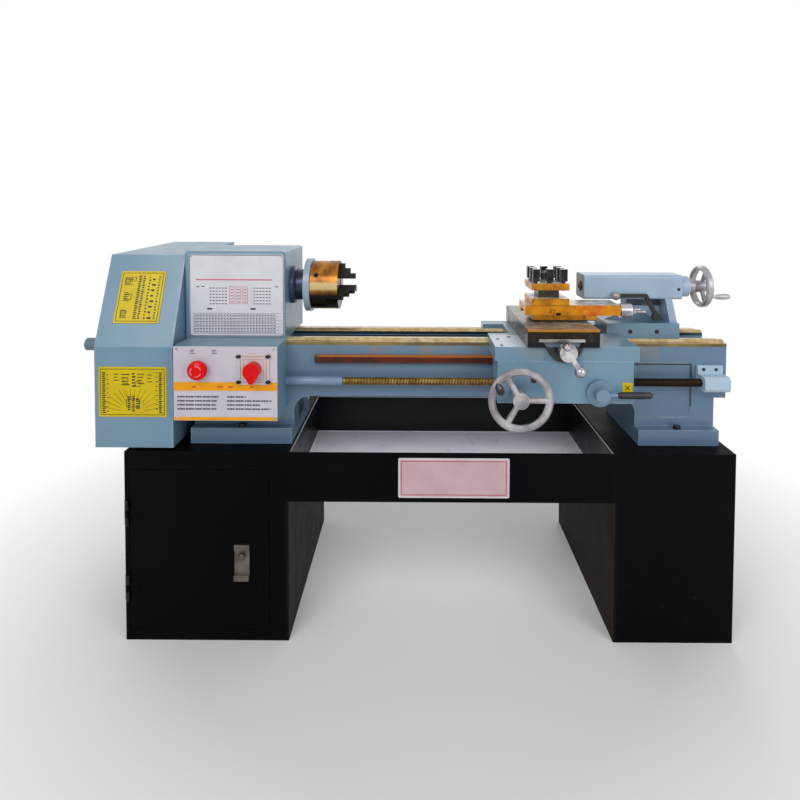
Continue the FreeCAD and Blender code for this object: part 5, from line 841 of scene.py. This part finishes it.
screw_heads("saddle_screws", [(215, -214), (181, -238), (182, -306)], "carriage",
            face_matrix((0, 0, SADDLE_TOP), (1, 0, 0), (0, 1, 0)), 4.5, 1.6)
screw_heads("tail_base_screws", [(565, 797), (640, 797)], "tailstock",
            face_matrix((0, TAIL_BASE_FRONT, 0), *FRONT), 6, 2)
screw_heads("tail_barrel_screw", [(706, 914)], "tailstock",
            face_matrix((0, BARREL_FRONT, 0), *FRONT), 4.5, 1.2)
screw_heads("slide_plug", [(405, 815)], "cross_slide", face_matrix((0, SLIDE_FRONT, 0), *FRONT), 9, 1.2)
screw_heads("bracket_screws", [(746, 706), (780, 706)], "root",
            face_matrix((0, BRACKET_FRONT, 0), *FRONT), 4.5, 2)

# Lead screw with its thread

def thread(bm, start, end, centre, outer, inner, pitch, steps=20, cuts=6):
    """A screw thread as one skin of rings whose radius follows the helix."""
    count = int((end - start) / pitch * cuts)
    rows = []
    for index in range(count + 1):
        x = start + (end - start) * index / count
        row = []
        for step in range(steps):
            turn = step / steps
            phase = ((x - start) / pitch - turn) % 1.0
            lift = min(max((abs(phase - 0.5) - 0.14) / 0.18, 0.0), 1.0)
            radius = outer + (inner - outer) * lift
            angle = 2 * math.pi * turn
            point = Vector((x, centre[0] + radius * math.cos(angle), centre[1] + radius * math.sin(angle)))
            row.append(point * MM)
        rows.append(row)
    skin(bm, rows)


LEAD_Y, LEAD_Z = -232, 675
bm = bmesh.new()
thread(bm, -236, 778, (LEAD_Y, LEAD_Z), 11, 9.4, 4)
along_x = face_matrix((0, LEAD_Y, LEAD_Z), (0, 1, 0), (0, 0, 1))
for low, high, radius in ((-741, -390.5, 11), (-392.7, -235, 12), (777, 784, 10.2)):
    lathe(bm, [(radius * 0.9 * MM, low * MM), (radius * MM, (low + 1.5) * MM),
               (radius * MM, (high - 1.5) * MM), (radius * 0.9 * MM, high * MM)], along_x, 40)
lead = piece("threaded_lead_screw", bm, lead_look, "leadscrew", None, True)
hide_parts("leadscrew")

# Pale wiper plate under the cross slide's front

bm = bmesh.new()
plate(bm, 0.272, 0.389, 0.8060, 0.8140, 0, 0.0022, 0.001, 0.0006)
piece("slide_wiper_plate", bm, bright_y, "cross_slide",
      face_matrix((0, SLIDE_FRONT, 0), *FRONT))

# Stage, light and camera

floor_look = Look("studio_floor")
ray = floor_look.new("LightPath", {}).outputs
seen = floor_look.either(floor_look.either(ray["Is Camera Ray"], ray["Is Glossy Ray"]),
                         ray["Is Transmission Ray"])
away = floor_look.new("VectorMath", {0: floor_look.place}, operation="LENGTH").outputs["Value"]
floor_tone = floor_look.mix(floor_look.patches(0.8, 0.3, 0.7), (0.84, 0.84, 0.84, 1), (0.86, 0.86, 0.86, 1))
floor_look.finish(floor_tone, 0.8, specular=0.1, soft=0)
glow = floor_look.new("Emission", {"Color": (1, 1, 1, 1), "Strength": 1.0})
blend = floor_look.new("MixShader", {0: floor_look.both(seen, floor_look.span(away, 0.7, 1.7)),
                                     1: floor_look.shader.outputs[0], 2: glow.outputs[0]})
floor_look.tree.links.new(blend.outputs[0], floor_look.tree.nodes["Material Output"].inputs["Surface"])
bpy.ops.mesh.primitive_plane_add(size=30, location=(0, 0, 0))
floor = bpy.context.object
floor.name = "studio_floor"
floor.data.materials.append(floor_look.material)
floor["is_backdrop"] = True

WORLD_LIGHT, WORLD_SEEN = 0.42, 1.0
world = bpy.data.worlds.new("studio_world")
bpy.context.scene.world = world
world.use_nodes = True
tree = world.node_tree
background = tree.nodes["Background"]
path = tree.nodes.new("ShaderNodeLightPath")
first = tree.nodes.new("ShaderNodeMath")
first.operation = "MAXIMUM"
second = tree.nodes.new("ShaderNodeMath")
second.operation = "MAXIMUM"
tree.links.new(path.outputs["Is Camera Ray"], first.inputs[0])
tree.links.new(path.outputs["Is Glossy Ray"], first.inputs[1])
tree.links.new(first.outputs[0], second.inputs[0])
tree.links.new(path.outputs["Is Transmission Ray"], second.inputs[1])
strength = tree.nodes.new("ShaderNodeMapRange")
tree.links.new(second.outputs[0], strength.inputs[0])
strength.inputs[3].default_value = WORLD_LIGHT
strength.inputs[4].default_value = WORLD_SEEN
tree.links.new(strength.outputs[0], background.inputs["Strength"])
background.inputs["Color"].default_value = (1, 1, 1, 1)


def lamp(name, place, target, size, power):
    data = bpy.data.lights.new(name, "AREA")
    data.shape = "RECTANGLE"
    data.size, data.size_y = size
    data.energy = power
    made = bpy.data.objects.new(name, data)
    made.location = place
    made.rotation_euler = (Vector(target) - Vector(place)).to_track_quat("-Z", "Y").to_euler()
    bpy.context.scene.collection.objects.link(made)


lamp("key_light", (-1.1, -2.5, 2.5), (0, 0, 0.7), (1.8, 1.4), 36)
lamp("fill_light", (2.0, -2.4, 2.0), (0.1, 0, 0.6), (1.6, 1.6), 24)
lamp("back_light", (0.6, 2.4, 2.6), (0, 0, 0.7), (2.2, 1.2), 22)

CAMERA_PLACE = (-37.8, -1770.0, 1151.3)
PITCH, YAW, ROLL, FOCAL_PX = 2.0, -0.14, 0.25, 576.1
CENTRE_PX = (414.9, 224.6)
FRAME_PX = 800
SENSOR_MM = 36
pitch, yaw, roll = math.radians(PITCH), math.radians(YAW), math.radians(ROLL)
forward = Vector((math.sin(yaw) * math.cos(pitch), math.cos(yaw) * math.cos(pitch), -math.sin(pitch)))
right = Vector((math.cos(yaw), -math.sin(yaw), 0))
up = right.cross(forward)
right, up = right * math.cos(roll) + up * math.sin(roll), up * math.cos(roll) - right * math.sin(roll)
data = bpy.data.cameras.new("photo_camera")
data.sensor_width = SENSOR_MM
data.lens = FOCAL_PX * SENSOR_MM / FRAME_PX
data.shift_x = (FRAME_PX / 2 - CENTRE_PX[0]) / FRAME_PX
data.shift_y = (CENTRE_PX[1] - FRAME_PX / 2) / FRAME_PX
data.clip_start, data.clip_end = 0.05, 60
camera = bpy.data.objects.new("photo_camera", data)
bpy.context.scene.collection.objects.link(camera)
camera.matrix_world = Matrix(((right.x, up.x, -forward.x, CAMERA_PLACE[0] * MM),
                              (right.y, up.y, -forward.y, CAMERA_PLACE[1] * MM),
                              (right.z, up.z, -forward.z, CAMERA_PLACE[2] * MM), (0, 0, 0, 1)))
bpy.context.scene.camera = camera
bpy.context.scene.view_settings.view_transform = "Standard"

low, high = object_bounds()
